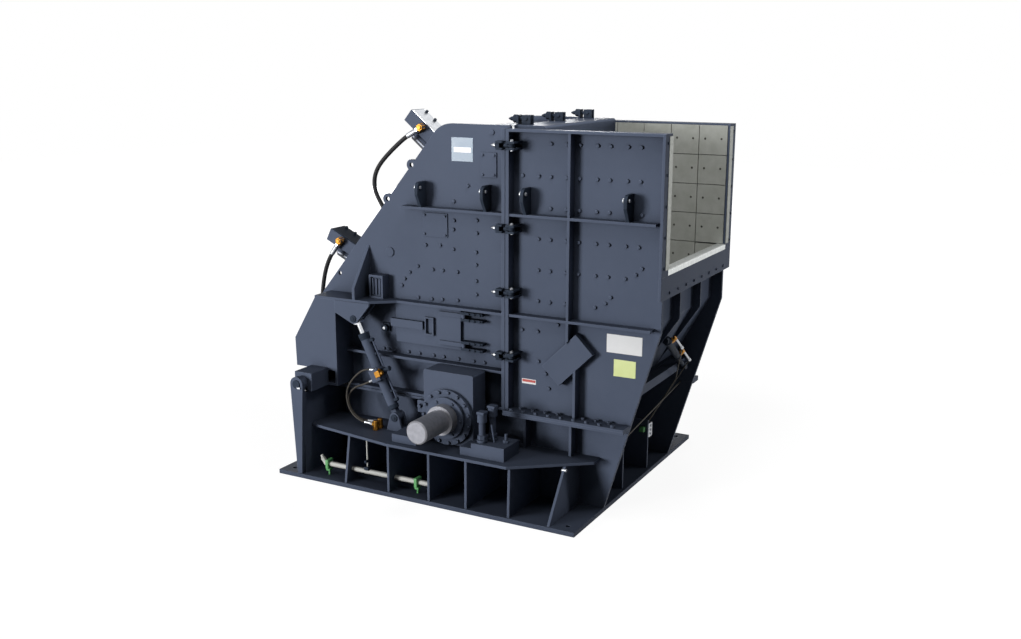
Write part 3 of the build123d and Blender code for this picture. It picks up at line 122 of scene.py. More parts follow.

# %% [markdown]
# ## Machine enamel
# The housing is rolled plate with a sprayed two-pack enamel in dark slate blue. It dries satin, with a
# faint orange peel and slow drifts of tone where the film is thicker. Every arris has a paler line, partly
# where paint draws thin and partly a painted highlight. A Bevel node rounds the shading of the plate edges
# by a few millimetres, as grinding does before painting, and the same rounded normal, set against the true
# one, gives the mask for the paler edges. The level faces and the hollows between the plates are drawn
# darker: this is painted shade.

# %% Mix the machine enamel
def enamel(name, body, drift, edge, peel=0.0005, roughness=0.46):
    """Make a satin enamel from its body colour, its slow drift and its pale edges (partly thin paint, partly
    painted highlight), with painted shade on level faces and in hollows.
    """
    finish, tree, shader, place = new_finish(name, Specular_IOR_Level=0.03)
    slow = add_node(tree, "ShaderNodeTexNoise", {"Scale": 1 / 0.9, "Detail": 3}, {"Vector": place})
    clouds = add_node(tree, "ShaderNodeTexNoise", {"Scale": 1 / 0.12, "Detail": 4}, {"Vector": place})
    both = add_node(tree, "ShaderNodeMath", {"operation": "MULTIPLY_ADD", 1: 0.35},
                    {0: clouds.outputs["Fac"], 2: slow.outputs["Fac"]})
    tone = add_node(tree, "ShaderNodeMapRange", {"From Min": 0.45, "From Max": 0.9},
                    {"Value": both.outputs[0]})
    film = add_node(tree, "ShaderNodeMix", {"data_type": "RGBA", 6: linear(body), 7: linear(drift)},
                    {0: tone.outputs[0]})
    round_edge = add_node(tree, "ShaderNodeBevel", {"samples": 6, "Radius": 0.006})
    flat = add_node(tree, "ShaderNodeNewGeometry")
    match = add_node(tree, "ShaderNodeVectorMath", {"operation": "DOT_PRODUCT"},
                     {0: round_edge.outputs[0], 1: flat.outputs["True Normal"]})
    # Paler arrises: partly thin paint at the edge and partly a painted highlight.
    pale_edge_wear_and_highlight = add_node(tree, "ShaderNodeMapRange", {"From Min": 0.985, "From Max": 0.80, "To Max": 0.75},
                    {"Value": match.outputs["Value"]})
    colour = add_node(tree, "ShaderNodeMix", {"data_type": "RGBA", 7: linear(edge)},
                      {0: pale_edge_wear_and_highlight.outputs[0], 6: film.outputs[2]})
    # Painted shade: faces that look up are drawn darker, and so are hollows where the AO node finds near
    # surfaces.
    level = add_node(tree, "ShaderNodeSeparateXYZ", {}, {0: flat.outputs["True Normal"]})
    painted_top_shade = add_node(tree, "ShaderNodeMapRange",
                       {"From Min": 0.7, "From Max": 0.95, "To Min": 1.0, "To Max": 0.55},
                       {"Value": level.outputs["Z"]})
    hollow = add_node(tree, "ShaderNodeAmbientOcclusion", {"samples": 4, "Distance": 0.45})
    painted_hollow_shade = add_node(tree, "ShaderNodeMapRange",
                      {"From Min": 0.15, "From Max": 0.75, "To Min": 0.30, "To Max": 1.0},
                      {"Value": hollow.outputs["AO"]})
    painted_shade_factor = add_node(tree, "ShaderNodeMath", {"operation": "MULTIPLY"},
                    {0: painted_top_shade.outputs[0], 1: painted_hollow_shade.outputs[0]})
    colour = add_node(tree, "ShaderNodeVectorMath", {"operation": "SCALE"},
                      {0: colour.outputs[2], "Scale": painted_shade_factor.outputs[0]})
    grain = add_node(tree, "ShaderNodeTexNoise", {"Scale": 1 / 0.012, "Detail": 2}, {"Vector": place})
    bump = add_node(tree, "ShaderNodeBump", {"Strength": 0.25, "Distance": peel},
                    {"Height": grain.outputs["Fac"], "Normal": round_edge.outputs[0]})
    gloss = add_node(tree, "ShaderNodeMapRange", {"To Min": roughness - 0.06, "To Max": roughness + 0.08},
                     {"Value": clouds.outputs["Fac"]})
    connect(tree, shader, colour.outputs[0], gloss.outputs[0], bump.outputs[0])
    return finish


# The last colour of each enamel is its pale edge, partly thin paint and partly a painted highlight.
slate_enamel = enamel("slate_blue_satin_enamel", "#545D70", "#596275", "#7C869A")
# A darker copy of the slate enamel; on the lifting lugs and door hinges its darker tone is partly painted
# shade.
dark_enamel_and_shade = enamel("dark_slate_enamel_and_painted_shade", "#2F3744", "#38414F", "#667084")
rotor_enamel = enamel("dark_rotor_enamel", "#2A2E36", "#33373F", "#5D6470")
white_enamel = enamel("white_pipe_enamel", "#C9CAC6", "#D8D8D4", "#E2E2DE", roughness=0.38)
print("enamels mixed:", slate_enamel.name, dark_enamel_and_shade.name, rotor_enamel.name, white_enamel.name)

# %% [markdown]
# ## Bare steel
# The shaft end is turned steel: its faced end is bright, and its long side is darker under a film of oil,
# with the fine feed marks of the lathe. The marks are drawn 3 mm apart, coarser than real ones, so that
# they show. The faces that look along the shaft are found from the surface normal, and only the outermost
# of them is taken as bright.

# %% Make the bare steels
def bare_steel(name, side, faced, mark, roughness, strength=0.15, metallic=1.0, faced_from=0.0):
    """Make a machined steel with tool marks along Y, brighter where it faces along Y beyond a depth."""
    finish, tree, shader, place = new_finish(name, Metallic=metallic)
    facing = add_node(tree, "ShaderNodeNewGeometry").outputs["True Normal"]
    along = add_node(tree, "ShaderNodeVectorMath", {"operation": "DOT_PRODUCT", 1: (0, 1, 0)}, {0: facing})
    square = add_node(tree, "ShaderNodeMath", {"operation": "MULTIPLY"},
                      {0: along.outputs["Value"], 1: along.outputs["Value"]})
    face = add_node(tree, "ShaderNodeMapRange", {"From Min": 0.80, "From Max": 0.95},
                    {"Value": square.outputs[0]})
    depth = add_node(tree, "ShaderNodeMath", {"operation": "ABSOLUTE"},
                     {0: add_node(tree, "ShaderNodeSeparateXYZ", {}, {0: place}).outputs["Y"]})
    far_out = add_node(tree, "ShaderNodeMath", {"operation": "GREATER_THAN", 1: faced_from},
                       {0: depth.outputs[0]})
    end = add_node(tree, "ShaderNodeMath", {"operation": "MULTIPLY"},
                   {0: face.outputs[0], 1: far_out.outputs[0]})
    stain = add_node(tree, "ShaderNodeTexNoise", {"Scale": 1 / 0.05, "Detail": 5}, {"Vector": place})
    tone = add_node(tree, "ShaderNodeMix", {"data_type": "RGBA", 6: linear(side), 7: linear(faced)},
                    {0: end.outputs[0]})
    dull = add_node(tree, "ShaderNodeMapRange",
                    {"From Min": 0.35, "From Max": 0.75, "To Min": 1.0, "To Max": 0.78},
                    {"Value": stain.outputs["Fac"]})
    colour = add_node(tree, "ShaderNodeVectorMath", {"operation": "SCALE"},
                      {0: tone.outputs[2], "Scale": dull.outputs[0]})
    marks = add_node(tree, "ShaderNodeTexWave",
                     {"bands_direction": "Y", "Scale": 0.314 / mark, "Distortion": 0.4},
                     {"Vector": place})
    bump = add_node(tree, "ShaderNodeBump", {"Strength": strength, "Distance": 0.0004},
                    {"Height": marks.outputs["Fac"]})
    rough = add_node(tree, "ShaderNodeMapRange", {"To Min": roughness - 0.05, "To Max": roughness + 0.12},
                     {"Value": stain.outputs["Fac"]})
    connect(tree, shader, colour.outputs[0], rough.outputs[0], bump.outputs[0])
    return finish


shaft_steel = bare_steel("turned_shaft_steel", "#88898F", "#8C8D94", 0.003, 0.42, metallic=0.6,
                         faced_from=2.03)
sill_steel = bare_steel("worn_pale_sill_steel", "#C2C5C4", "#BCBFBE", 0.02, 0.50, strength=0.08)
flange_steel = bare_steel("worn_flange_steel", "#858783", "#858783", 0.02, 0.50, strength=0.08)
hard_chrome = bare_steel("ground_hard_chrome", "#D4D7DC", "#D4D7DC", 0.004, 0.14, strength=0.03)
zinc_plate = bare_steel("bright_zinc_plated_steel", "#ABAEB3", "#AFB2B7", 0.002, 0.34, strength=0.05)
jack_steel = bare_steel("oiled_jack_steel", "#50535A", "#50535A", 0.003, 0.32, strength=0.05, metallic=0.8)
yellow_zinc = bare_steel("yellow_passivated_steel", "#966A2C", "#966A2C", 0.002, 0.36, strength=0.05)
print("steels made:", shaft_steel.name, sill_steel.name, hard_chrome.name, zinc_plate.name, yellow_zinc.name)

# %% [markdown]
# ## Wear plate, rubber, plastic and film
# The feed box is lined with cast wear plates: dry, grey-olive and mottled, with a dull sheen and no
# paint. The hoses are black rubber with a cloth-wrapped cover. The pipe clamps are moulded green plastic,
# and the label places carry plain film with nothing on it.

# %% Make the remaining finishes
def mottled(name, body, patch, patch_size, grain_size, roughness, relief, **sockets):
    """Make a dry finish with soft patches of a second colour and a fine raised grain."""
    finish, tree, shader, place = new_finish(name, **sockets)
    patches = add_node(tree, "ShaderNodeTexNoise", {"Scale": 1 / patch_size, "Detail": 6, "Roughness": 0.6},
                       {"Vector": place})
    share = add_node(tree, "ShaderNodeMapRange", {"From Min": 0.38, "From Max": 0.66},
                     {"Value": patches.outputs["Fac"]})
    colour = add_node(tree, "ShaderNodeMix", {"data_type": "RGBA", 6: linear(body), 7: linear(patch)},
                      {0: share.outputs[0]})
    grain = add_node(tree, "ShaderNodeTexNoise", {"Scale": 1 / grain_size, "Detail": 3}, {"Vector": place})
    bump = add_node(tree, "ShaderNodeBump", {"Strength": 0.35, "Distance": relief},
                    {"Height": grain.outputs["Fac"]})
    rough = add_node(tree, "ShaderNodeMapRange", {"To Min": roughness - 0.08, "To Max": roughness + 0.08},
                     {"Value": patches.outputs["Fac"]})
    connect(tree, shader, colour.outputs[2], rough.outputs[0], bump.outputs[0])
    return finish


wear_plate = mottled("cast_wear_plate", "#AFB1AB", "#A3A59E", 0.14, 0.006, 0.62, 0.0006,
                     Specular_IOR_Level=0.3)
hose_rubber = mottled("cloth_wrapped_hose_rubber", "#161618", "#1F1F22", 0.05, 0.004, 0.6, 0.0008,
                      Specular_IOR_Level=0.25)
thin_hose = mottled("dusty_thin_hose_rubber", "#3A3733", "#4A4640", 0.04, 0.004, 0.6, 0.0006,
                    Specular_IOR_Level=0.25)
green_clamp = mottled("moulded_green_clamp_plastic", "#58A05E", "#66AE6B", 0.03, 0.003, 0.45, 0.0003)
bolt_scale = mottled("scaled_bolt_steel", "#4A4A46", "#55554F", 0.02, 0.004, 0.6, 0.0004,
                     Specular_IOR_Level=0.2)
# A bright bare face that stands as a painted reflection on the upper crosshead.
painted_reflection_face = bare_steel("bright_milled_face", "#E4E7EC", "#E4E7EC", 0.004, 0.30, strength=0.04)
white_film = mottled("plain_white_film", "#E9EAEB", "#EEEFF0", 0.2, 0.01, 0.35, 0.0001)
yellow_film = mottled("plain_yellow_green_film", "#E2EDA2", "#E8F2AC", 0.2, 0.01, 0.35, 0.0001)
blue_film = mottled("plain_grey_blue_film", "#5E7890", "#668098", 0.2, 0.01, 0.35, 0.0001)
red_film = mottled("plain_red_film", "#B8463E", "#C04E46", 0.1, 0.01, 0.35, 0.0001)
print("other finishes made:", wear_plate.name, hose_rubber.name, green_clamp.name)

# %% [markdown]
# ## Dress the solids
# Each solid keeps its own shape and only takes a finish. Nearly everything is enamelled, so the enamel
# goes on first, and the few bare, lined and rubber pieces are then named one by one.

# %% Put the finishes on the solids
finish_of = dict.fromkeys(frame["nodes"], slate_enamel)
finish_of.update({
    "rotor_shaft": shaft_steel, "rotor_body": rotor_enamel, "blow_bars": wear_plate, "side_liners": wear_plate,
    "upper_apron": wear_plate, "lower_apron": wear_plate, "feed_chute": wear_plate, "wear_bar": sill_steel,
    "rod_near": hard_chrome, "rod_far": hard_chrome, "service_pipe": white_enamel, "bench_elbows": yellow_zinc,
    # The lugs and hinges take the darker enamel partly as painted shade.
    "latch_ears": dark_enamel_and_shade, "latch_nuts": dark_enamel_and_shade, "front_lugs": dark_enamel_and_shade, "rear_lugs": dark_enamel_and_shade,
    "upper_hose": hose_rubber, "lower_hose": hose_rubber, "valve_hose": thin_hose, "return_hose": thin_hose,
    "feed_jack": dark_enamel_and_shade, "door_hinges": dark_enamel_and_shade,
})
for name, finish in finish_of.items():
    mesh = frame["nodes"][name].data
    mesh.materials.clear()
    mesh.materials.append(finish)
print("solids dressed:", len(finish_of))

# %% [markdown]
# ## Hoses
# Four hydraulic hoses show: one thick hose from each apron adjuster round into the hood, and two thin
# ones from the valve on the opening cylinder down to fittings on the bench. Each follows the route that
# its solid has, as the control points of one smooth spline. The thick pair stays on the rear frame.

# %% Route the hoses
def hose_curve(name, route, radius):
    """Lay a smooth spline through a route's control points and give it a round section."""
    data = bpy.data.curves.new(name, "CURVE")
    data.dimensions = "3D"
    data.resolution_u = 8
    data.bevel_resolution = 5
    data.use_fill_caps = True
    spline = data.splines.new("NURBS")
    spline.points.add(len(route) - 1)
    for point, place in zip(spline.points, route):
        point.co = (*place, 1)
    spline.order_u = 3
    spline.use_endpoint_u = True
    curve = bpy.data.objects.new(name, data)
    bpy.context.collection.objects.link(curve)
    line = bpy.data.meshes.new_from_object(curve.evaluated_get(bpy.context.evaluated_depsgraph_get()))
    path = [vertex.co.copy() for vertex in line.vertices]
    data.bevel_depth = radius
    return curve, path


def run_length(path):
    """Add up a path's steps."""
    return sum((b - a).length for a, b in zip(path, path[1:]))


upper_route = [(-0.635, -0.8, 3.940), (-0.715, -0.8, 3.895), (-1.000, -0.8, 3.650), (-1.110, -0.8, 3.490),
               (-1.125, -0.8, 3.330), (-1.060, -0.8, 3.180), (-0.924, -0.8, 2.995)]
lower_route = [(-1.751, -0.8, 2.514), (-1.805, -0.8, 2.442), (-1.880, -0.8, 2.260), (-1.925, -0.8, 2.030),
               (-1.925, -0.8, 1.900), (-1.885, -0.8, 1.805), (-1.824, -0.8, 1.735)]
thick_hose_radius = 0.025
for name, route in (("upper_hose", upper_route), ("lower_hose", lower_route)):
    hose, path = hose_curve(name + "_cover", route, thick_hose_radius)
    hose.data.materials.append(hose_rubber)
    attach(hose, "rear_frame")
    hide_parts(name)
    print(name, "is", round(run_length(path), 3), "m long")

# %% [markdown]
# ## Thin hoses
# The thin pair runs between bench and cylinder, and each becomes a mesh tube.

# %% Route the thin hoses as mesh tubes
valve_route = [(-0.813, -1.400, 1.332), (-0.900, -1.400, 1.330), (-1.040, -1.400, 1.225),
               (-1.150, -1.400, 1.075), (-1.168, -1.400, 0.930), (-1.115, -1.400, 0.790),
               (-1.000, -1.400, 0.700), (-0.905, -1.400, 0.690)]
return_route = [(-0.822, -1.400, 1.192), (-0.920, -1.385, 1.140), (-1.060, -1.365, 1.085),
                (-1.150, -1.365, 1.000), (-1.172, -1.365, 0.890), (-1.110, -1.365, 0.765),
                (-1.000, -1.350, 0.695), (-0.905, -1.335, 0.690)]
thin_hose_radius = 0.011
for name, route in (("valve_hose", valve_route), ("return_hose", return_route)):
    curve, path = hose_curve(name + "_line", route, thin_hose_radius)
    bpy.context.view_layer.update()
    mesh = bpy.data.meshes.new_from_object(curve.evaluated_get(bpy.context.evaluated_depsgraph_get()))
    bpy.data.objects.remove(curve)
    mesh.materials.clear()
    mesh.materials.append(thin_hose)
    hose = bpy.data.objects.new(name + "_cover", mesh)
    bpy.context.collection.objects.link(hose)
    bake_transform(hose)
    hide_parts(name)
    print(name, "is", round(run_length(path), 3), "m long")

# %% [markdown]
# ## Helpers for new pieces
# Fasteners and fittings are built in bmesh from cones and cubes that are turned to their place, chamfered
# and joined in one mesh for each group, so a row of bolts is one piece. Bolts get a washer, a hexagon and
# a chamfered top, which is enough for a shape that repeats hundreds of times.

# %% Define the modelling helpers
def turned(axis, place):
    """Give the matrix that stands a shape's Z along an axis at a place."""
    return Matrix.Translation(place) @ Vector(axis).to_track_quat("Z", "Y").to_matrix().to_4x4()


def add_cone(bm, start, end, radius, end_radius=None, segments=20, chamfer=0.0):
    """Add a round bar or cone from one point to another, with its rims chamfered."""
    start, end = Vector(start), Vector(end)
    made = bmesh.ops.create_cone(
        bm, cap_ends=True, segments=segments, radius1=radius,
        radius2=radius if end_radius is None else end_radius,
        depth=(end - start).length, matrix=turned(end - start, (start + end) / 2))
    edges = dict.fromkeys(edge for vertex in made["verts"] for edge in vertex.link_edges)
    rims = [edge for edge in edges if any(len(face.verts) == segments for face in edge.link_faces)]
    if chamfer:
        bmesh.ops.bevel(bm, geom=rims, offset=chamfer, segments=2, profile=0.5, affect="EDGES", material=-1)


def add_block(bm, low, high, chamfer=0.003, turn=Matrix()):
    """Add a block between two corners, turned if needed, with chamfered edges."""
    low, high = Vector(low), Vector(high)
    made = bmesh.ops.create_cube(
        bm, size=1, matrix=turn @ Matrix.Translation((low + high) / 2) @ Matrix.Diagonal((*(high - low), 1)))
    edges = dict.fromkeys(edge for vertex in made["verts"] for edge in vertex.link_edges)
    bmesh.ops.bevel(bm, geom=list(edges), offset=chamfer, segments=2, profile=0.5, affect="EDGES", material=-1)


def add_bolts(bm, places, axis, across, tall=0.62):
    """Add hexagon heads of a width across flats, each on its washer, standing along an axis."""
    for count, place in enumerate(places):
        stand = turned(axis, place) @ Matrix.Rotation(radians(count * 23 % 60), 4, "Z")
        for sides, wide, end_wide, low, high in (
            (16, 0.64, 0.64, -0.05, 0.10), (6, 0.577, 0.577, 0.10, tall), (6, 0.577, 0.46, tall, tall + 0.07),
        ):
            bmesh.ops.create_cone(
                bm, cap_ends=True, segments=sides, radius1=wide * across, radius2=end_wide * across,
                depth=(high - low) * across,
                matrix=stand @ Matrix.Translation((0, 0, (low + high) / 2 * across)))


def make_piece(name, bm, finish, body):
    """Close a bmesh into an object at the origin that wears a finish and rides a body."""
    bmesh.ops.recalc_face_normals(bm, faces=bm.faces)
    mesh = bpy.data.meshes.new(name)
    bm.to_mesh(mesh)
    bm.free()
    mesh.materials.append(finish)
    mesh.shade_smooth()
    mesh.set_sharp_from_angle(angle=radians(20))
    piece = bpy.data.objects.new(name, mesh)
    bpy.context.collection.objects.link(piece)
    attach(piece, body)
    print(name, "has", len(mesh.polygons), "faces and rides", body)


def both_sides(places, y):
    """Give each near place and its mirror on the far side, with the axis that points outwards."""
    return [((x, -y, z), (0, -1, 0)) for x, z in places] + [((x, y, z), (0, 1, 0)) for x, z in places]


print("modelling helpers ready")

# %% [markdown]
# ## Wall bolts
# The liner plates inside are held by bolts through the side walls, so heads dot the walls in rows that
# follow the plates: two columns for each plate in the feed box, and a looser pattern round the aprons in
# the rear frame. They are painted over with the wall. The far wall is taken as the mirror of the near
# one.

# %% Add the wall bolts
wall_face, wall_bolt = 1.0, 0.035
feed_rows = {
    3.925: (1.25, 1.43, 1.58, 1.775, 1.915, 2.105, 2.245),
    3.585: (0.92, 1.11, 1.25, 1.43, 1.58, 1.775, 1.915, 2.105, 2.245),
    3.255: (1.25, 1.43, 1.58, 1.775, 1.915, 2.27),
    2.925: (1.11, 1.25, 1.43, 1.58, 1.775, 1.915, 2.105, 2.245),
    2.590: (1.11, 1.25, 1.43, 1.58, 1.775, 1.915, 2.105),
    2.255: (1.11, 1.25, 1.43, 1.775),
    1.920: (0.92, 1.11),
}
feed_places = [(x, z) for z, columns in feed_rows.items() for x in columns]
feed_places += [(2.285, 2.71), (2.22, 2.64), (1.95, 2.38), (1.89, 2.31), (1.35, 2.02), (1.12, 1.59),
                (1.21, 1.46), (1.25, 1.30)]
rear_places = [
    (0.25, 3.44), (0.07, 3.26), (0.36, 3.07), (0.06, 2.95), (0.07, 3.05), (0.36, 2.93), (-0.30, 2.75),
    (-0.11, 2.76), (0.06, 2.73), (0.35, 2.72), (0.67, 2.73), (0.35, 2.58), (-0.41, 2.50), (-0.21, 2.48),
    (-0.08, 2.48), (0.11, 2.48), (-0.52, 2.42), (0.35, 2.40), (-0.63, 2.26), (-0.59, 2.34), (0.11, 2.16),
    (0.35, 2.25), (-0.41, 2.14), (-0.23, 2.14), (-0.09, 2.15),
]
lower_row = (-0.90, -0.83, -0.75, -0.555, -0.405, -0.215, -0.08, 0.115, 0.31, 0.45)
rear_places += [(x, 1.485) for x in lower_row]
for name, places, body in (("feed_wall_bolts", feed_places, "lower_frame"),
                           ("rear_wall_bolts", rear_places, "rear_frame")):
    bm = bmesh.new()
    for place, axis in both_sides(places, wall_face):
        add_bolts(bm, [place], axis, wall_bolt, tall=0.45)
    make_piece(name, bm, slate_enamel, body)

# %% [markdown]
# ## Liner bolts
# Inside the feed box each wear plate shows the sunk heads of its two bolts, a little above the middle.
# Beside the sill the chute leaves room for a part of a plate only, so a plate cut along the slope fills
# each corner.

# %% Add the cut liner plates and the liner bolts
def add_plate(bm, outline, low_y, high_y):
    """Add a flat plate with an outline in X and Z between two depths."""
    face = bm.faces.new([bm.verts.new((x, low_y, z)) for x, z in outline])
    made = bmesh.ops.extrude_face_region(bm, geom=[face])
    moved = [item for item in made["geom"] if isinstance(item, bmesh.types.BMVert)]
    bmesh.ops.translate(bm, verts=moved, vec=(0, high_y - low_y, 0))


liner_face, wall_inside = 0.920, 0.960
liner_end, liner_top, liner_pitch = 2.510, 4.050, 0.336
half_gap = 0.096
bm = bmesh.new()
for low_y, high_y in ((-wall_inside, -liner_face), (liner_face, wall_inside)):
    add_plate(bm, [(2.182, 2.350), (liner_end, 2.655), (liner_end, 2.698), (2.182, 2.698)], low_y, high_y)
make_piece("cut_liner_plates", bm, wear_plate, "lower_frame")
bm = bmesh.new()
for column in range(5):
    for row in range(5):
        for shift in (-half_gap,) if (column, row) == (0, 4) else (-half_gap, half_gap):
            x = liner_end - 0.164 - liner_pitch * column + shift
            z = liner_top - 0.150 - liner_pitch * row
            for y, inward in ((-liner_face, 1), (liner_face, -1)):
                add_cone(bm, (x, y - 0.004 * inward, z), (x, y + 0.004 * inward, z), 0.015, 0.011, segments=10)
make_piece("liner_bolts", bm, bolt_scale, "lower_frame")

# %% [markdown]
# ## Flange bolts
# The feed opening is framed by a bolted flange and sill, and the feed box stands on the lower frame with
# two rows of bolts along the parting flange. A narrow wear strip covers the inner edge of the flange
# beside the liners.

# %% Add the flange bolts
flange_face, flange_bolt = 2.540, 0.026
bm = bmesh.new()
upright_row = [(flange_face, side * 1.055, 3.98 - 0.31 * k) for side in (-1, 1) for k in range(5)]
sill_row = [(flange_face, -0.875 + 0.25 * k, 2.465) for k in range(8)]
for row in (upright_row, sill_row):
    add_bolts(bm, row, (1, 0, 0), flange_bolt, tall=0.4)
for side in (-1, 1):
    outer = [(0.86 + 0.150 * k, side * 1.140, 1.028) for k in range(9)]
    inner = [(0.93 + 0.150 * k, side * 1.050, 1.028) for k in range(8) if k != 4]
    add_bolts(bm, outer + inner, (0, 0, 1), 0.038, tall=0.55)
make_piece("flange_bolts", bm, slate_enamel, "lower_frame")
bm = bmesh.new()
for low_y, high_y in ((-1.020, -0.922), (0.922, 1.020)):
    add_block(bm, (2.538, low_y, 2.715), (2.546, high_y, 4.045), 0.002)
make_piece("flange_wear_strips", bm, flange_steel, "lower_frame")

# %% [markdown]
# ## Swing-bolt latches
# The rear frame is clamped to the feed box by swing bolts: an eye on a pin between two ears, a threaded
# shank through the posts, and a nut with a bright pointed end. When the frame opens, the bolt is first
# swung out, so the shank is parted at the split: the eye stays with the feed box and the pointed end goes
# with the rear frame.

# %% Add the swing bolts
eye_x, shank_x = 0.861, 0.774
side_latches = [(side * 1.140, z) for side in (-1, 1) for z in (3.901, 3.029, 2.336, 1.636)]
hood_latches = [(y, 4.158) for y in (-0.78, 0.0, 0.78)]
eyes, pins, ends, keepers = bmesh.new(), bmesh.new(), bmesh.new(), bmesh.new()
for y, z in side_latches:
    outward = y / abs(y)
    for low in (0.024, -0.046):
        add_block(keepers, (0.686, min(outward * 1.10, outward * 1.182), z + low),
                  (0.762, max(outward * 1.10, outward * 1.182), z + low + 0.022))
    add_cone(eyes, (eye_x, y, z - 0.020), (eye_x, y, z + 0.020), 0.034, chamfer=0.004)
    add_cone(eyes, (eye_x, y, z), (shank_x, y, z), 0.020)
    add_cone(pins, (eye_x, y, z - 0.058), (eye_x, y, z + 0.052), 0.015, chamfer=0.003)
    add_bolts(pins, [(eye_x, y, z + 0.046)], (0, 0, 1), 0.032, tall=0.5)
for y, z in hood_latches:
    add_cone(eyes, (eye_x, y - 0.020, z), (eye_x, y + 0.020, z), 0.034, chamfer=0.004)
    add_cone(eyes, (eye_x, y, z), (shank_x, y, z), 0.020)
    add_cone(eyes, (eye_x, y - 0.056, z), (eye_x, y + 0.056, z), 0.015, chamfer=0.003)
for group, latches, root in ((ends, side_latches, 0.677), (keepers, hood_latches, 0.695)):
    for y, z in latches:
        add_cone(group, (root + 0.004, y, z), (root - 0.030, y, z), 0.022, chamfer=0.002)
        add_cone(group, (root - 0.030, y, z), (root - 0.062, y, z), 0.022, 0.007)
make_piece("swing_bolt_eyes", eyes, dark_enamel_and_shade, "lower_frame")
make_piece("swing_bolt_pins", pins, zinc_plate, "lower_frame")
make_piece("swing_bolt_ends", ends, zinc_plate, "rear_frame")
make_piece("latch_keepers", keepers, dark_enamel_and_shade, "rear_frame")

# %% [markdown]
# ## Lifting lugs
# Each lifting lug carries a bright zinc pin near its upper outer corner, as a painted glint where light
# catches the lug.

# %% Add the lug pins
for name, columns, body in (("front_lug_glint_pins", (1.0, 2.16), "lower_frame"),
                            ("rear_lug_glint_pins", (-0.3, 0.52), "rear_frame")):
    bm = bmesh.new()
    for x in columns:
        for side in (-1, 1):
            y, z = side * 1.135, 3.405
            # Bright zinc pins as painted glints on the lugs.
            add_cone(bm, (x - 0.034, y, z), (x + 0.034, y, z), 0.019, chamfer=0.004)
            add_cone(bm, (x - 0.046, y, z), (x - 0.030, y, z), 0.028, chamfer=0.005)
    make_piece(name, bm, zinc_plate, body)

# %% [markdown]
# ## Opening cylinders
# Each cylinder has a screwed gland at its rod end, a welded end cap and a thin pipe that feeds the rod
# side, held to the barrel by two clips. A pin with a round head and a split ring goes through each end.
# The pieces are placed along the cylinder's own axis, from the lower pin to the upper one, so a small
# function gives a point by its distance along the axis and across it.

# %% Add the cylinder fittings
pin_low, pin_high = Vector((-0.555, 0, 0.775)), Vector((-1.090, 0, 1.880))
axis = (pin_high - pin_low).normalized()
across = Vector((axis.z, 0, -axis.x))


def on_cylinder(along, off, y):
    """Give the point at a distance along the cylinder, off its axis and at a depth."""
    return pin_low + axis * along + across * off + Vector((0, y, 0))


for name, out in (("near", -1), ("far", 1)):
    y = out * 1.26
    bm = bmesh.new()
    for start, end, radius in ((0.984, 1.036, 0.064), (0.955, 0.984, 0.061), (0.100, 0.150, 0.064)):
        add_cone(bm, on_cylinder(start, 0, y), on_cylinder(end, 0, y), radius, segments=32, chamfer=0.004)
    for along in (0.300, 0.760):
        add_block(bm, (-0.055, -0.016, -0.014), (0.105, 0.016, 0.014), 0.003,
                  turned(axis, on_cylinder(along, 0.02, y)) @ Matrix.Rotation(-pi / 2, 4, "Z"))
    add_cone(bm, on_cylinder(0.925, 0.045, y), on_cylinder(0.925, 0.105, y), 0.024, segments=6, chamfer=0.002)
    add_cone(bm, on_cylinder(0.190, 0.045, y), on_cylinder(0.190, 0.105, y), 0.024, segments=6, chamfer=0.002)
    make_piece(f"cylinder_rings_{name}", bm, dark_enamel_and_shade, f"barrel_{name}")
    bm = bmesh.new()
    add_cone(bm, on_cylinder(0.190, 0.088, y), on_cylinder(0.925, 0.088, y), 0.011, segments=16)
    make_piece(f"cylinder_pipe_{name}", bm, slate_enamel, f"barrel_{name}")
    for end, place, body in (("low", pin_low, "lower_frame"), ("high", pin_high, "rear_frame")):
        bm = bmesh.new()
        face = place + Vector((0, out * 1.330, 0))
        root, shoulder, tip = (face + Vector((0, out * step, 0)) for step in (-0.004, 0.012, 0.020))
        add_cone(bm, root, shoulder, 0.042, chamfer=0.004)
        add_cone(bm, shoulder, tip, 0.020, chamfer=0.003)
        make_piece(f"cylinder_pin_{end}_{name}", bm, dark_enamel_and_shade, body)

# %% [markdown]
# ## Valve and hose fittings
# The cylinder's valve is a small yellow-passivated steel block with a hexagon port for each thin hose.
# All hoses end in bright crimped ferrules: a plain sleeve, a collar and a union nut. The thick hoses
# screw into yellow elbows on the adjusters, and the thin ones into elbows that stand on the bench.

# %% Add the valve and the fittings
def add_ferrule(bm, hose_end, port, radius):
    """Add a crimped sleeve, a collar and a union nut between a hose's end and its port."""
    hose_end, port = Vector(hose_end), Vector(port)
    step = port - hose_end
    sleeve_end, collar_end, nut_end = (hose_end + step * share for share in (0.50, 0.62, 0.95))
    add_cone(bm, hose_end - step * 0.10, sleeve_end, radius * 1.10, segments=24, chamfer=radius * 0.10)
    add_cone(bm, sleeve_end, collar_end, radius * 1.02, segments=24, chamfer=radius * 0.08)
    add_cone(bm, collar_end, nut_end, radius * 1.34, segments=6, chamfer=radius * 0.08)


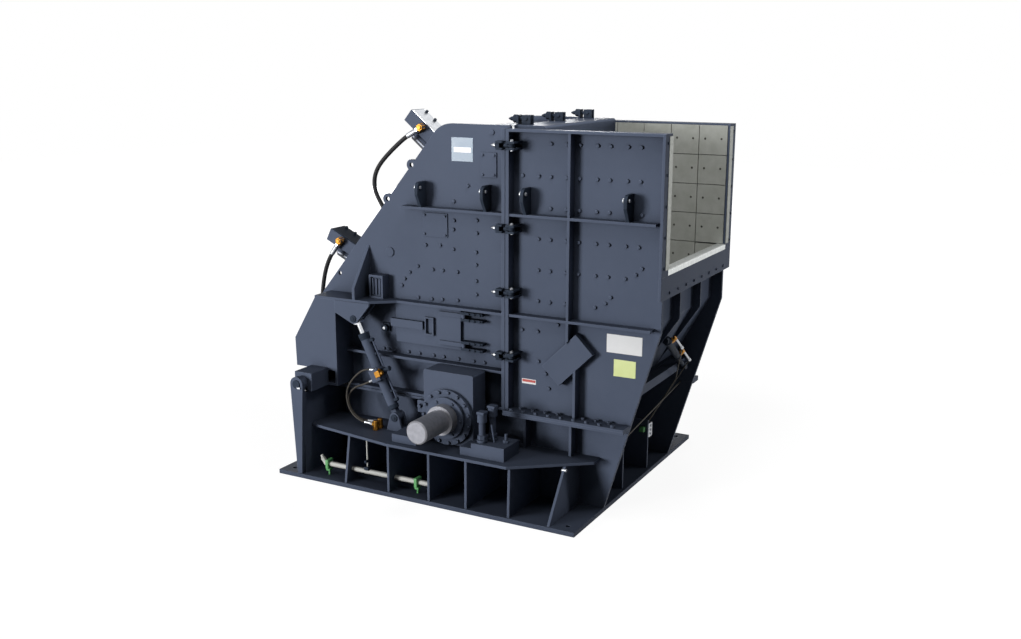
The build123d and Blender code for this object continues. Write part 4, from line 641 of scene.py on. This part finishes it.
thin_ferrule, thick_ferrule = 0.0165, 0.0275
bm = bmesh.new()
add_block(bm, (-0.032, -0.036, -0.036), (0.032, 0.036, 0.036), 0.006,
          turned(axis, on_cylinder(0.536, 0.104, -1.420)))
add_cone(bm, on_cylinder(0.536, 0.130, -1.420), on_cylinder(0.528, 0.168, -1.420), 0.022, segments=6,
         chamfer=0.003)
add_cone(bm, (-0.727, -1.400, 1.334), (-0.690, -1.400, 1.334), 0.026, segments=6, chamfer=0.002)
add_cone(bm, (-0.748, -1.411, 1.231), (-0.706, -1.418, 1.254), 0.026, segments=6, chamfer=0.002)
make_piece("valve_block", bm, yellow_zinc, "barrel_near")
bm = bmesh.new()
add_cone(bm, on_cylinder(0.548, 0.150, -1.350), on_cylinder(0.548, 0.215, -1.350), 0.022, chamfer=0.004)
add_cone(bm, on_cylinder(0.548, 0.215, -1.350), on_cylinder(0.548, 0.232, -1.350), 0.030, chamfer=0.005)
add_block(bm, (-0.030, -0.075, -0.035), (0.030, 0.030, 0.035), 0.004,
          turned(axis, on_cylinder(0.548, 0.110, -1.330)))
make_piece("valve_knob", bm, dark_enamel_and_shade, "barrel_near")
bm = bmesh.new()
add_ferrule(bm, valve_route[0], (-0.713, -1.400, 1.334), thin_ferrule)
add_ferrule(bm, return_route[0], (-0.7345, -1.4134, 1.2384), thin_ferrule)
make_piece("valve_ferrules", bm, zinc_plate, "barrel_near")
bm, elbows = bmesh.new(), bmesh.new()
for y, end_y in ((-1.400, -1.400), (-1.335, -1.313)):
    add_ferrule(bm, (-0.905, y, 0.690), (-0.800, end_y, 0.690), thin_ferrule)
    add_cone(elbows, (-0.806, end_y, 0.690), (-0.762, end_y, 0.690), 0.026, segments=6, chamfer=0.002)
    add_cone(elbows, (-0.763, end_y, 0.655), (-0.763, end_y, 0.735), 0.031, chamfer=0.006)
    add_cone(elbows, (-0.763, end_y, 0.620), (-0.763, end_y, 0.655), 0.036, segments=6, chamfer=0.003)
make_piece("bench_ferrules", bm, zinc_plate, "lower_frame")
make_piece("bench_elbow_bodies", elbows, yellow_zinc, "lower_frame")
bm, elbows = bmesh.new(), bmesh.new()
for hose_end, port in ((upper_route[0], (-0.470, -0.8, 4.033)), (lower_route[0], (-1.638, -0.8, 2.665))):
    add_ferrule(bm, hose_end, port, thick_ferrule)
    port, step = Vector(port), (Vector(port) - Vector(hose_end)).normalized()
    add_cone(elbows, port - step * 0.045, port + step * 0.030, 0.043, segments=6, chamfer=0.004)
    plug = port - Vector((0, 0.044, 0))
    add_cone(elbows, plug, port + Vector((0, 0.050, 0)), 0.042, segments=6, chamfer=0.004)
    add_cone(elbows, port - Vector((0, 0.056, 0)), plug, 0.026, segments=6, chamfer=0.003)
make_piece("adjuster_ferrules", bm, zinc_plate, "rear_frame")
make_piece("adjuster_elbows", elbows, yellow_zinc, "rear_frame")

# %% [markdown]
# ## Bearing fasteners
# Fifteen studs hold the ring on each bearing housing, and the housing is held down by long bolts with
# spacer sleeves on the pad beside it. A small ear on the rear side takes the bearing's locating screw.

# %% Add the bearing fasteners
shaft_x, shaft_z = 0.22, 0.94


def round_shaft(radius, y, first, count):
    """Give evenly spaced places on a circle round the shaft, from a first angle in degrees."""
    turns = [radians(first + 360 // count * k) for k in range(count)]
    return [(shaft_x + radius * cos(turn), y, shaft_z + radius * sin(turn)) for turn in turns]


for name, out in (("near", -1), ("far", 1)):
    bm = bmesh.new()
    add_bolts(bm, round_shaft(0.290, out * 1.455, 12, 15), (0, out, 0), 0.034, tall=0.60)
    add_bolts(bm, round_shaft(0.200, out * 1.490, 0, 6), (0, out, 0), 0.026, tall=0.5)
    make_piece(f"bearing_studs_{name}", bm, slate_enamel, "lower_frame")
    bm = bmesh.new()
    low, high = sorted((out * 1.33, out * 1.41))
    add_block(bm, (-0.185, low, 0.93), (-0.092, high, 1.07), 0.008)
    for x, y, top in ((0.727, 1.55, 1.115), (0.790, 1.43, 1.160)):
        y *= out
        add_cone(bm, (x, y, 0.768), (x, y, 0.800), 0.058, chamfer=0.004)
        add_cone(bm, (x, y, 0.800), (x, y, 0.850), 0.050, segments=6, chamfer=0.004)
        add_cone(bm, (x, y, 0.850), (x, y, top - 0.120), 0.036, chamfer=0.003)
        add_cone(bm, (x, y, top - 0.120), (x, y, top - 0.030), 0.052, chamfer=0.004)
        add_block(bm, (x - 0.046, y - 0.046, top - 0.030), (x + 0.046, y + 0.046, top), 0.006)
    add_cone(bm, (0.815, out * 1.50, 0.965), (0.850, out * 1.50, 0.770), 0.010, segments=16)
    add_cone(bm, (0.965, out * 1.45, 0.768), (0.965, out * 1.45, 0.800), 0.034, segments=6, chamfer=0.003)
    add_cone(bm, (0.965, out * 1.45, 0.800), (0.965, out * 1.45, 0.870), 0.017, chamfer=0.003)
    make_piece(f"bearing_hold_down_{name}", bm, slate_enamel, "lower_frame")
    bm = bmesh.new()
    add_bolts(bm, [(-0.140, out * 1.41, 1.010)], (0, out, 0), 0.042, tall=0.9)
    make_piece(f"bearing_locating_screw_{name}", bm, slate_enamel, "lower_frame")

# %% [markdown]
# ## Service pipe
# The white pipe through the rear fins is held by green plastic clamps. It ends in a bend at the rear, and
# a thin tube with a small tap comes down to it from under the bench.

# %% Add the pipe fittings
bm = bmesh.new()
for x in (-1.295, -0.073):
    add_block(bm, (x - 0.020, -1.655, 0.130), (x + 0.020, -1.545, 0.238), 0.008)
    add_block(bm, (x - 0.026, -1.632, 0.100), (x + 0.026, -1.568, 0.132), 0.006)
    add_cone(bm, (x, -1.6, 0.050), (x, -1.6, 0.102), 0.012, segments=16)
make_piece("pipe_clamps", bm, green_clamp, "lower_frame")
bm = bmesh.new()
add_cone(bm, (-1.345, -1.6, 0.185), (-1.300, -1.6, 0.185), 0.036, chamfer=0.004)
add_cone(bm, (-1.340, -1.6, 0.185), (-1.385, -1.6, 0.240), 0.028, chamfer=0.004)
add_cone(bm, (-1.385, -1.6, 0.240), (-1.400, -1.6, 0.275), 0.020, chamfer=0.004)
add_cone(bm, (-0.750, -1.6, 0.215), (-0.750, -1.6, 0.590), 0.010, segments=16)
make_piece("pipe_end_and_tube", bm, white_enamel, "lower_frame")
bm = bmesh.new()
add_block(bm, (-0.780, -1.635, 0.205), (-0.720, -1.565, 0.245), 0.006)
add_cone(bm, (-0.750, -1.645, 0.310), (-0.750, -1.575, 0.310), 0.018, segments=6, chamfer=0.003)
make_piece("tube_saddle_and_tap", bm, dark_enamel_and_shade, "lower_frame")

# %% [markdown]
# ## Adjusters
# The crosshead of each apron adjuster is a machined block with three studs, and a short jack with a hexagon
# end lies under it. The upper crosshead's face is bright bare steel as a painted reflection. Positions run
# along each adjuster from its foot on the slope outwards.

# %% Add the adjuster details
# The upper crosshead's bright face is a painted reflection.
for name, foot, lean, plate in (("upper", (-0.2497, 3.813), (-0.7716, 0.6361), painted_reflection_face),
                                ("lower", (-1.3437, 2.4855), (-0.8988, 0.4384), dark_enamel_and_shade)):
    foot, lean = Vector((foot[0], -0.620, foot[1])), Vector((lean[0], 0, lean[1]))
    rise = Vector((lean.z, 0, -lean.x))
    bm = bmesh.new()
    middle = foot + lean * 0.33 + rise * 0.077
    frame_turn = Matrix.Translation(middle) @ Matrix((lean, (0, 1, 0), rise)).transposed().to_4x4()
    add_block(bm, (-0.205, -0.125, -0.004), (0.205, 0.125, 0.008), 0.003, frame_turn)
    make_piece(f"{name}_crosshead_plate", bm, plate, "rear_frame")
    bm = bmesh.new()
    studs = [frame_turn @ Vector((along, 0.088, 0.008)) for along in (-0.150, 0.010, 0.150)]
    add_bolts(bm, studs, rise, 0.030, tall=0.8)
    make_piece(f"{name}_crosshead_studs", bm, dark_enamel_and_shade, "rear_frame")
    bm = bmesh.new()
    under = foot - rise * 0.185
    add_cone(bm, under + lean * 0.170, under + lean * 0.400, 0.048, segments=28, chamfer=0.004)
    add_cone(bm, under + lean * 0.400, under + lean * 0.425, 0.034, segments=6, chamfer=0.003)
    make_piece(f"{name}_adjuster_jack", bm, jack_steel, "rear_frame")

# %% [markdown]
# ## Feed jack
# The small jack that sets the chute leans under the sill. Two yellow elbows screw into its barrel, joined
# by thin lines that run down to a small distributor on the far fin, with a green clamp on the fin's other
# side. One more thin pipe crosses from wall to wall.

# %% Add the jack fittings
jack_top, jack_foot = Vector((2.305, -0.262, 1.806)), Vector((2.165, 0.707, 1.270))
jack_axis = (jack_foot - jack_top).normalized()
jack_side = Vector((0.76, 0.0, 0.65))
bm, pipes, rings = bmesh.new(), bmesh.new(), bmesh.new()
for along in (0.12, 0.66):
    port = jack_top + jack_axis * along
    add_cone(bm, port + jack_side * 0.035, port + jack_side * 0.075, 0.030, segments=6, chamfer=0.003)
    add_cone(bm, port + jack_side * 0.075, port + jack_side * 0.110, 0.024, chamfer=0.005)
    elbow = port + jack_side * 0.092
    add_cone(bm, elbow, elbow + jack_axis * 0.045, 0.020, segments=6, chamfer=0.002)
for along in (0.03, 0.66):
    start = jack_top + jack_axis * along
    add_cone(rings, start, jack_top + jack_axis * (along + 0.045), 0.050, segments=28, chamfer=0.004)
lines = bmesh.new()
for along in (0.12, 0.66):
    port = jack_top + jack_axis * along + jack_side * 0.100
    bend = port + jack_axis * 0.28 + Vector((0.03, 0, -0.03))
    add_cone(pipes, port, bend, 0.013, chamfer=0.002)
    add_cone(pipes, port + (bend - port) * 0.86, port + (bend - port) * 1.05, 0.019, segments=6, chamfer=0.002)
    knee = Vector((2.150, 0.500 + along * 0.1, 1.150))
    for start, end in ((bend, knee), (knee, Vector((1.850, 0.400 + along * 0.06, 0.590)))):
        add_cone(lines, start, end, 0.006, segments=8)
add_cone(lines, (2.050, -0.955, 0.767), (2.050, 0.955, 0.985), 0.008, segments=16)
make_piece("jack_lines", lines, thin_hose, "lower_frame")
make_piece("jack_elbows", bm, yellow_zinc, "lower_frame")
make_piece("jack_pipes", pipes, zinc_plate, "lower_frame")
make_piece("jack_rings", rings, dark_enamel_and_shade, "lower_frame")
bm = bmesh.new()
add_block(bm, (1.800, 0.389, 0.420), (1.885, 0.500, 0.590), 0.006)
for k in range(3):
    z = 0.455 + 0.050 * k
    add_cone(bm, (1.885, 0.445, z), (1.900, 0.445, z), 0.014, segments=6, chamfer=0.002)
make_piece("jack_distributor", bm, zinc_plate, "lower_frame")
bm = bmesh.new()
add_block(bm, (1.790, 0.310, 0.500), (1.850, 0.363, 0.560), 0.006)
make_piece("jack_line_clamp", bm, green_clamp, "lower_frame")

# %% [markdown]
# ## Cover plates and label places
# Small bolted covers close holes in the rear walls. The label places on the near side carry plain film
# only: white and yellow-green near the feed end, a small one with a red band by the bearing and a grey-
# blue one with a pale band high on the rear wall.

# %% Add the covers and the films
cover_inset = 0.028
bm = bmesh.new()
for low_x, high_x, low_z, high_z in ((0.412, 0.607, 3.542, 3.808), (-0.333, -0.011, 2.850, 3.117)):
    for out in (-1, 1):
        low_y, high_y = sorted((out * 0.998, out * 1.012))
        add_block(bm, (low_x, low_y, low_z), (high_x, high_y, high_z), 0.003)
        corners = [(x, out * 1.012, z) for x in (low_x + cover_inset, high_x - cover_inset)
                   for z in (low_z + cover_inset, high_z - cover_inset)]
        add_bolts(bm, corners, (0, out, 0), 0.024, tall=0.5)
for x, z, radius in ((-0.787, 2.632, 0.056), (0.552, 4.020, 0.026)):
    for out in (-1, 1):
        add_cone(bm, (x, out * 0.998, z), (x, out * 1.014, z), radius, segments=32, chamfer=0.004)
for out in (-1, 1):
    low_y, high_y = sorted((out * 1.085, out * 1.105))
    add_block(bm, (-0.978, low_y, 2.122), (-0.832, high_y, 2.348), 0.003)
    for x in (-0.952, -0.905, -0.858):
        low_y, high_y = sorted((out * 1.100, out * 1.120))
        add_block(bm, (x - 0.009, low_y, 2.140), (x + 0.009, high_y, 2.330), 0.003)
make_piece("wall_covers", bm, slate_enamel, "rear_frame")
for name, low_x, high_x, low_z, high_z, film, body in (
    ("white_label_place", 1.916, 2.312, 1.795, 1.992, white_film, "lower_frame"),
    ("yellow_label_place", 2.001, 2.247, 1.546, 1.728, yellow_film, "lower_frame"),
    ("small_label_place", 0.919, 1.091, 1.317, 1.372, white_film, "lower_frame"),
    ("small_label_band", 0.925, 1.085, 1.338, 1.366, red_film, "lower_frame"),
    ("blue_label_place", 0.046, 0.313, 3.698, 3.954, blue_film, "rear_frame"),
    ("blue_label_band", 0.075, 0.290, 3.795, 3.850, white_film, "rear_frame"),
):
    bm = bmesh.new()
    front = -1.004 if name.endswith("band") else -1.003
    add_block(bm, (low_x, front, low_z), (high_x, -0.999, high_z), 0.0008)
    make_piece(name, bm, film, body)

# %% [markdown]
# ## Pins and door fasteners
# The pivot pins of the rear frame show their ends in the brackets, each with a bright keeper plate that
# is a painted glint. A pin goes through the top of the leaning fin. The inspection doors have bolts on
# their hinge leaves, and the latch arm's swing bolt is on the wall beside the door.

# %% Add the pins and the door fasteners
bm, keeper = bmesh.new(), bmesh.new()
for out in (-1, 1):
    add_cone(bm, (-1.620, out * 1.738, 1.130), (-1.620, out * 1.750, 1.130), 0.052, segments=32, chamfer=0.004)
    low_y, high_y = sorted((out * 1.746, out * 1.754))
    # Bright zinc keeper plates as painted glints.
    add_block(keeper, (-1.606, low_y, 1.080), (-1.560, high_y, 1.100), 0.002)
    add_cone(keeper, (1.588, out * 1.358, 0.545), (1.642, out * 1.358, 0.545), 0.019, chamfer=0.004)
make_piece("pivot_pin_ends", bm, dark_enamel_and_shade, "lower_frame")
make_piece("glint_keepers_and_fin_pins", keeper, zinc_plate, "lower_frame")
bm = bmesh.new()
for out in (-1, 1):
    leaves = [(x, out * 1.088, strap + shift) for strap in (1.665, 2.000) for shift in (-0.038, 0.038)
              for x in (0.300, 0.370, 0.440)]
    add_bolts(bm, leaves, (0, out, 0), 0.022, tall=0.6)
    low_y, high_y = sorted((out * 0.998, out * 1.030))
    add_block(bm, (-0.895, low_y, 1.700), (-0.795, high_y, 1.800), 0.006)
    add_cone(bm, (-0.848, out * 1.030, 1.745), (-0.848, out * 1.066, 1.745), 0.040, chamfer=0.006)
make_piece("hinge_bolts", bm, dark_enamel_and_shade, "rear_frame")
bm = bmesh.new()
for out in (-1, 1):
    add_cone(bm, (-0.848, out * 1.064, 1.745), (-0.848, out * 1.074, 1.745), 0.020, segments=6, chamfer=0.002)
make_piece("latch_arm_bolts", bm, zinc_plate, "rear_frame")

# %% [markdown]
# ## Stage and light
# The machine stands on a plain pale floor in soft studio light. A large key lamp at the left gives the
# walls their tone and throws the shadows of the ribs to the right, a second one above lights the upper
# faces, a small one hangs over the feed opening to show the liners, a weak one beyond the far corner
# lights the sill and the flange, one behind shows the hidden sides, and the world adds a little from all
# round. Rays from the camera, and those that mirror in metal, see the world as white and the floor lifted
# to white, so the background is white without more light on the machine. The lift is added to the floor's
# own light, so the machine's shadow stays on it, and it grows with the distance from the machine, so the
# floor runs into the white.

# %% Build the floor, the world and the lamps
def white_for_viewers(tree):
    """Give a value that is 1 for rays that should see the white background."""
    rays = add_node(tree, "ShaderNodeLightPath").outputs
    glossy = add_node(tree, "ShaderNodeMath", {"operation": "MAXIMUM"},
                      {0: rays["Is Camera Ray"], 1: rays["Is Glossy Ray"]})
    return add_node(tree, "ShaderNodeMath", {"operation": "MAXIMUM"},
                    {0: glossy.outputs[0], 1: rays["Is Transmission Ray"]}).outputs[0]


world = bpy.data.worlds.new("studio")
world.use_nodes = True
bpy.context.scene.world = world
level = add_node(world.node_tree, "ShaderNodeMapRange", {"To Min": 0.03, "To Max": 1.0},
                 {"Value": white_for_viewers(world.node_tree)})
sky = world.node_tree.nodes["Background"]
sky.inputs["Color"].default_value = (1, 1, 1, 1)
world.node_tree.links.new(level.outputs[0], sky.inputs["Strength"])

bm = bmesh.new()
bmesh.ops.create_grid(bm, x_segments=1, y_segments=1, size=40)
floor_mesh = bpy.data.meshes.new("floor")
bm.to_mesh(floor_mesh)
bm.free()
floor = bpy.data.objects.new("floor", floor_mesh)
bpy.context.collection.objects.link(floor)
pale_floor, tree, shader, place = new_finish("pale_studio_floor", Base_Color=linear("#808080"), Roughness=0.9,
                                             Specular_IOR_Level=0.0)
reach = add_node(tree, "ShaderNodeVectorMath", {"operation": "LENGTH"}, {0: place})
fade = add_node(tree, "ShaderNodeMapRange", {"From Min": 4.0, "From Max": 13.0, "To Min": 0.92, "To Max": 1.0},
                {"Value": reach.outputs["Value"]})
lift = add_node(tree, "ShaderNodeMath", {"operation": "MULTIPLY"},
                {0: fade.outputs[0], 1: white_for_viewers(tree)})
glow = add_node(tree, "ShaderNodeEmission", {"Color": (1, 1, 1, 1)}, {"Strength": lift.outputs[0]})
lit = add_node(tree, "ShaderNodeAddShader", {}, {0: shader.outputs[0], 1: glow.outputs[0]})
tree.links.new(lit.outputs[0], tree.nodes["Material Output"].inputs["Surface"])
floor_mesh.materials.append(pale_floor)


def lamp(name, aim, target, distance, size, power):
    """Hang a square soft lamp in a direction from its target, facing it."""
    data = bpy.data.lights.new(name, "AREA")
    data.size = size
    data.energy = power
    lamp_object = bpy.data.objects.new(name, data)
    lamp_object.matrix_world = turned(aim, Vector(target) + Vector(aim).normalized() * distance)
    bpy.context.collection.objects.link(lamp_object)
    print(name, "at", tuple(round(c, 1) for c in lamp_object.location))


middle = (0.2, 0, 2.0)
lamp("key_lamp", (-0.52, -0.85, 0.08), middle, 30, 9, 7700)
lamp("top_lamp", (0.05, -0.55, 0.83), middle, 30, 6, 900)
lamp("feed_lamp", (0.0, -0.55, 0.83), (1.8, 0.92, 3.3), 4.2, 1.6, 92)
lamp("feed_side_lamp", (0.80, 0.56, 0.18), (2.5, 0, 2.4), 14, 2, 520)
lamp("back_lamp", (-0.50, 0.86, 0.08), middle, 30, 9, 4800)

# %% [markdown]
# ## View transform
# The render uses the Standard view transform.

# %% Set the view transform
bpy.context.scene.view_settings.view_transform = "Standard"
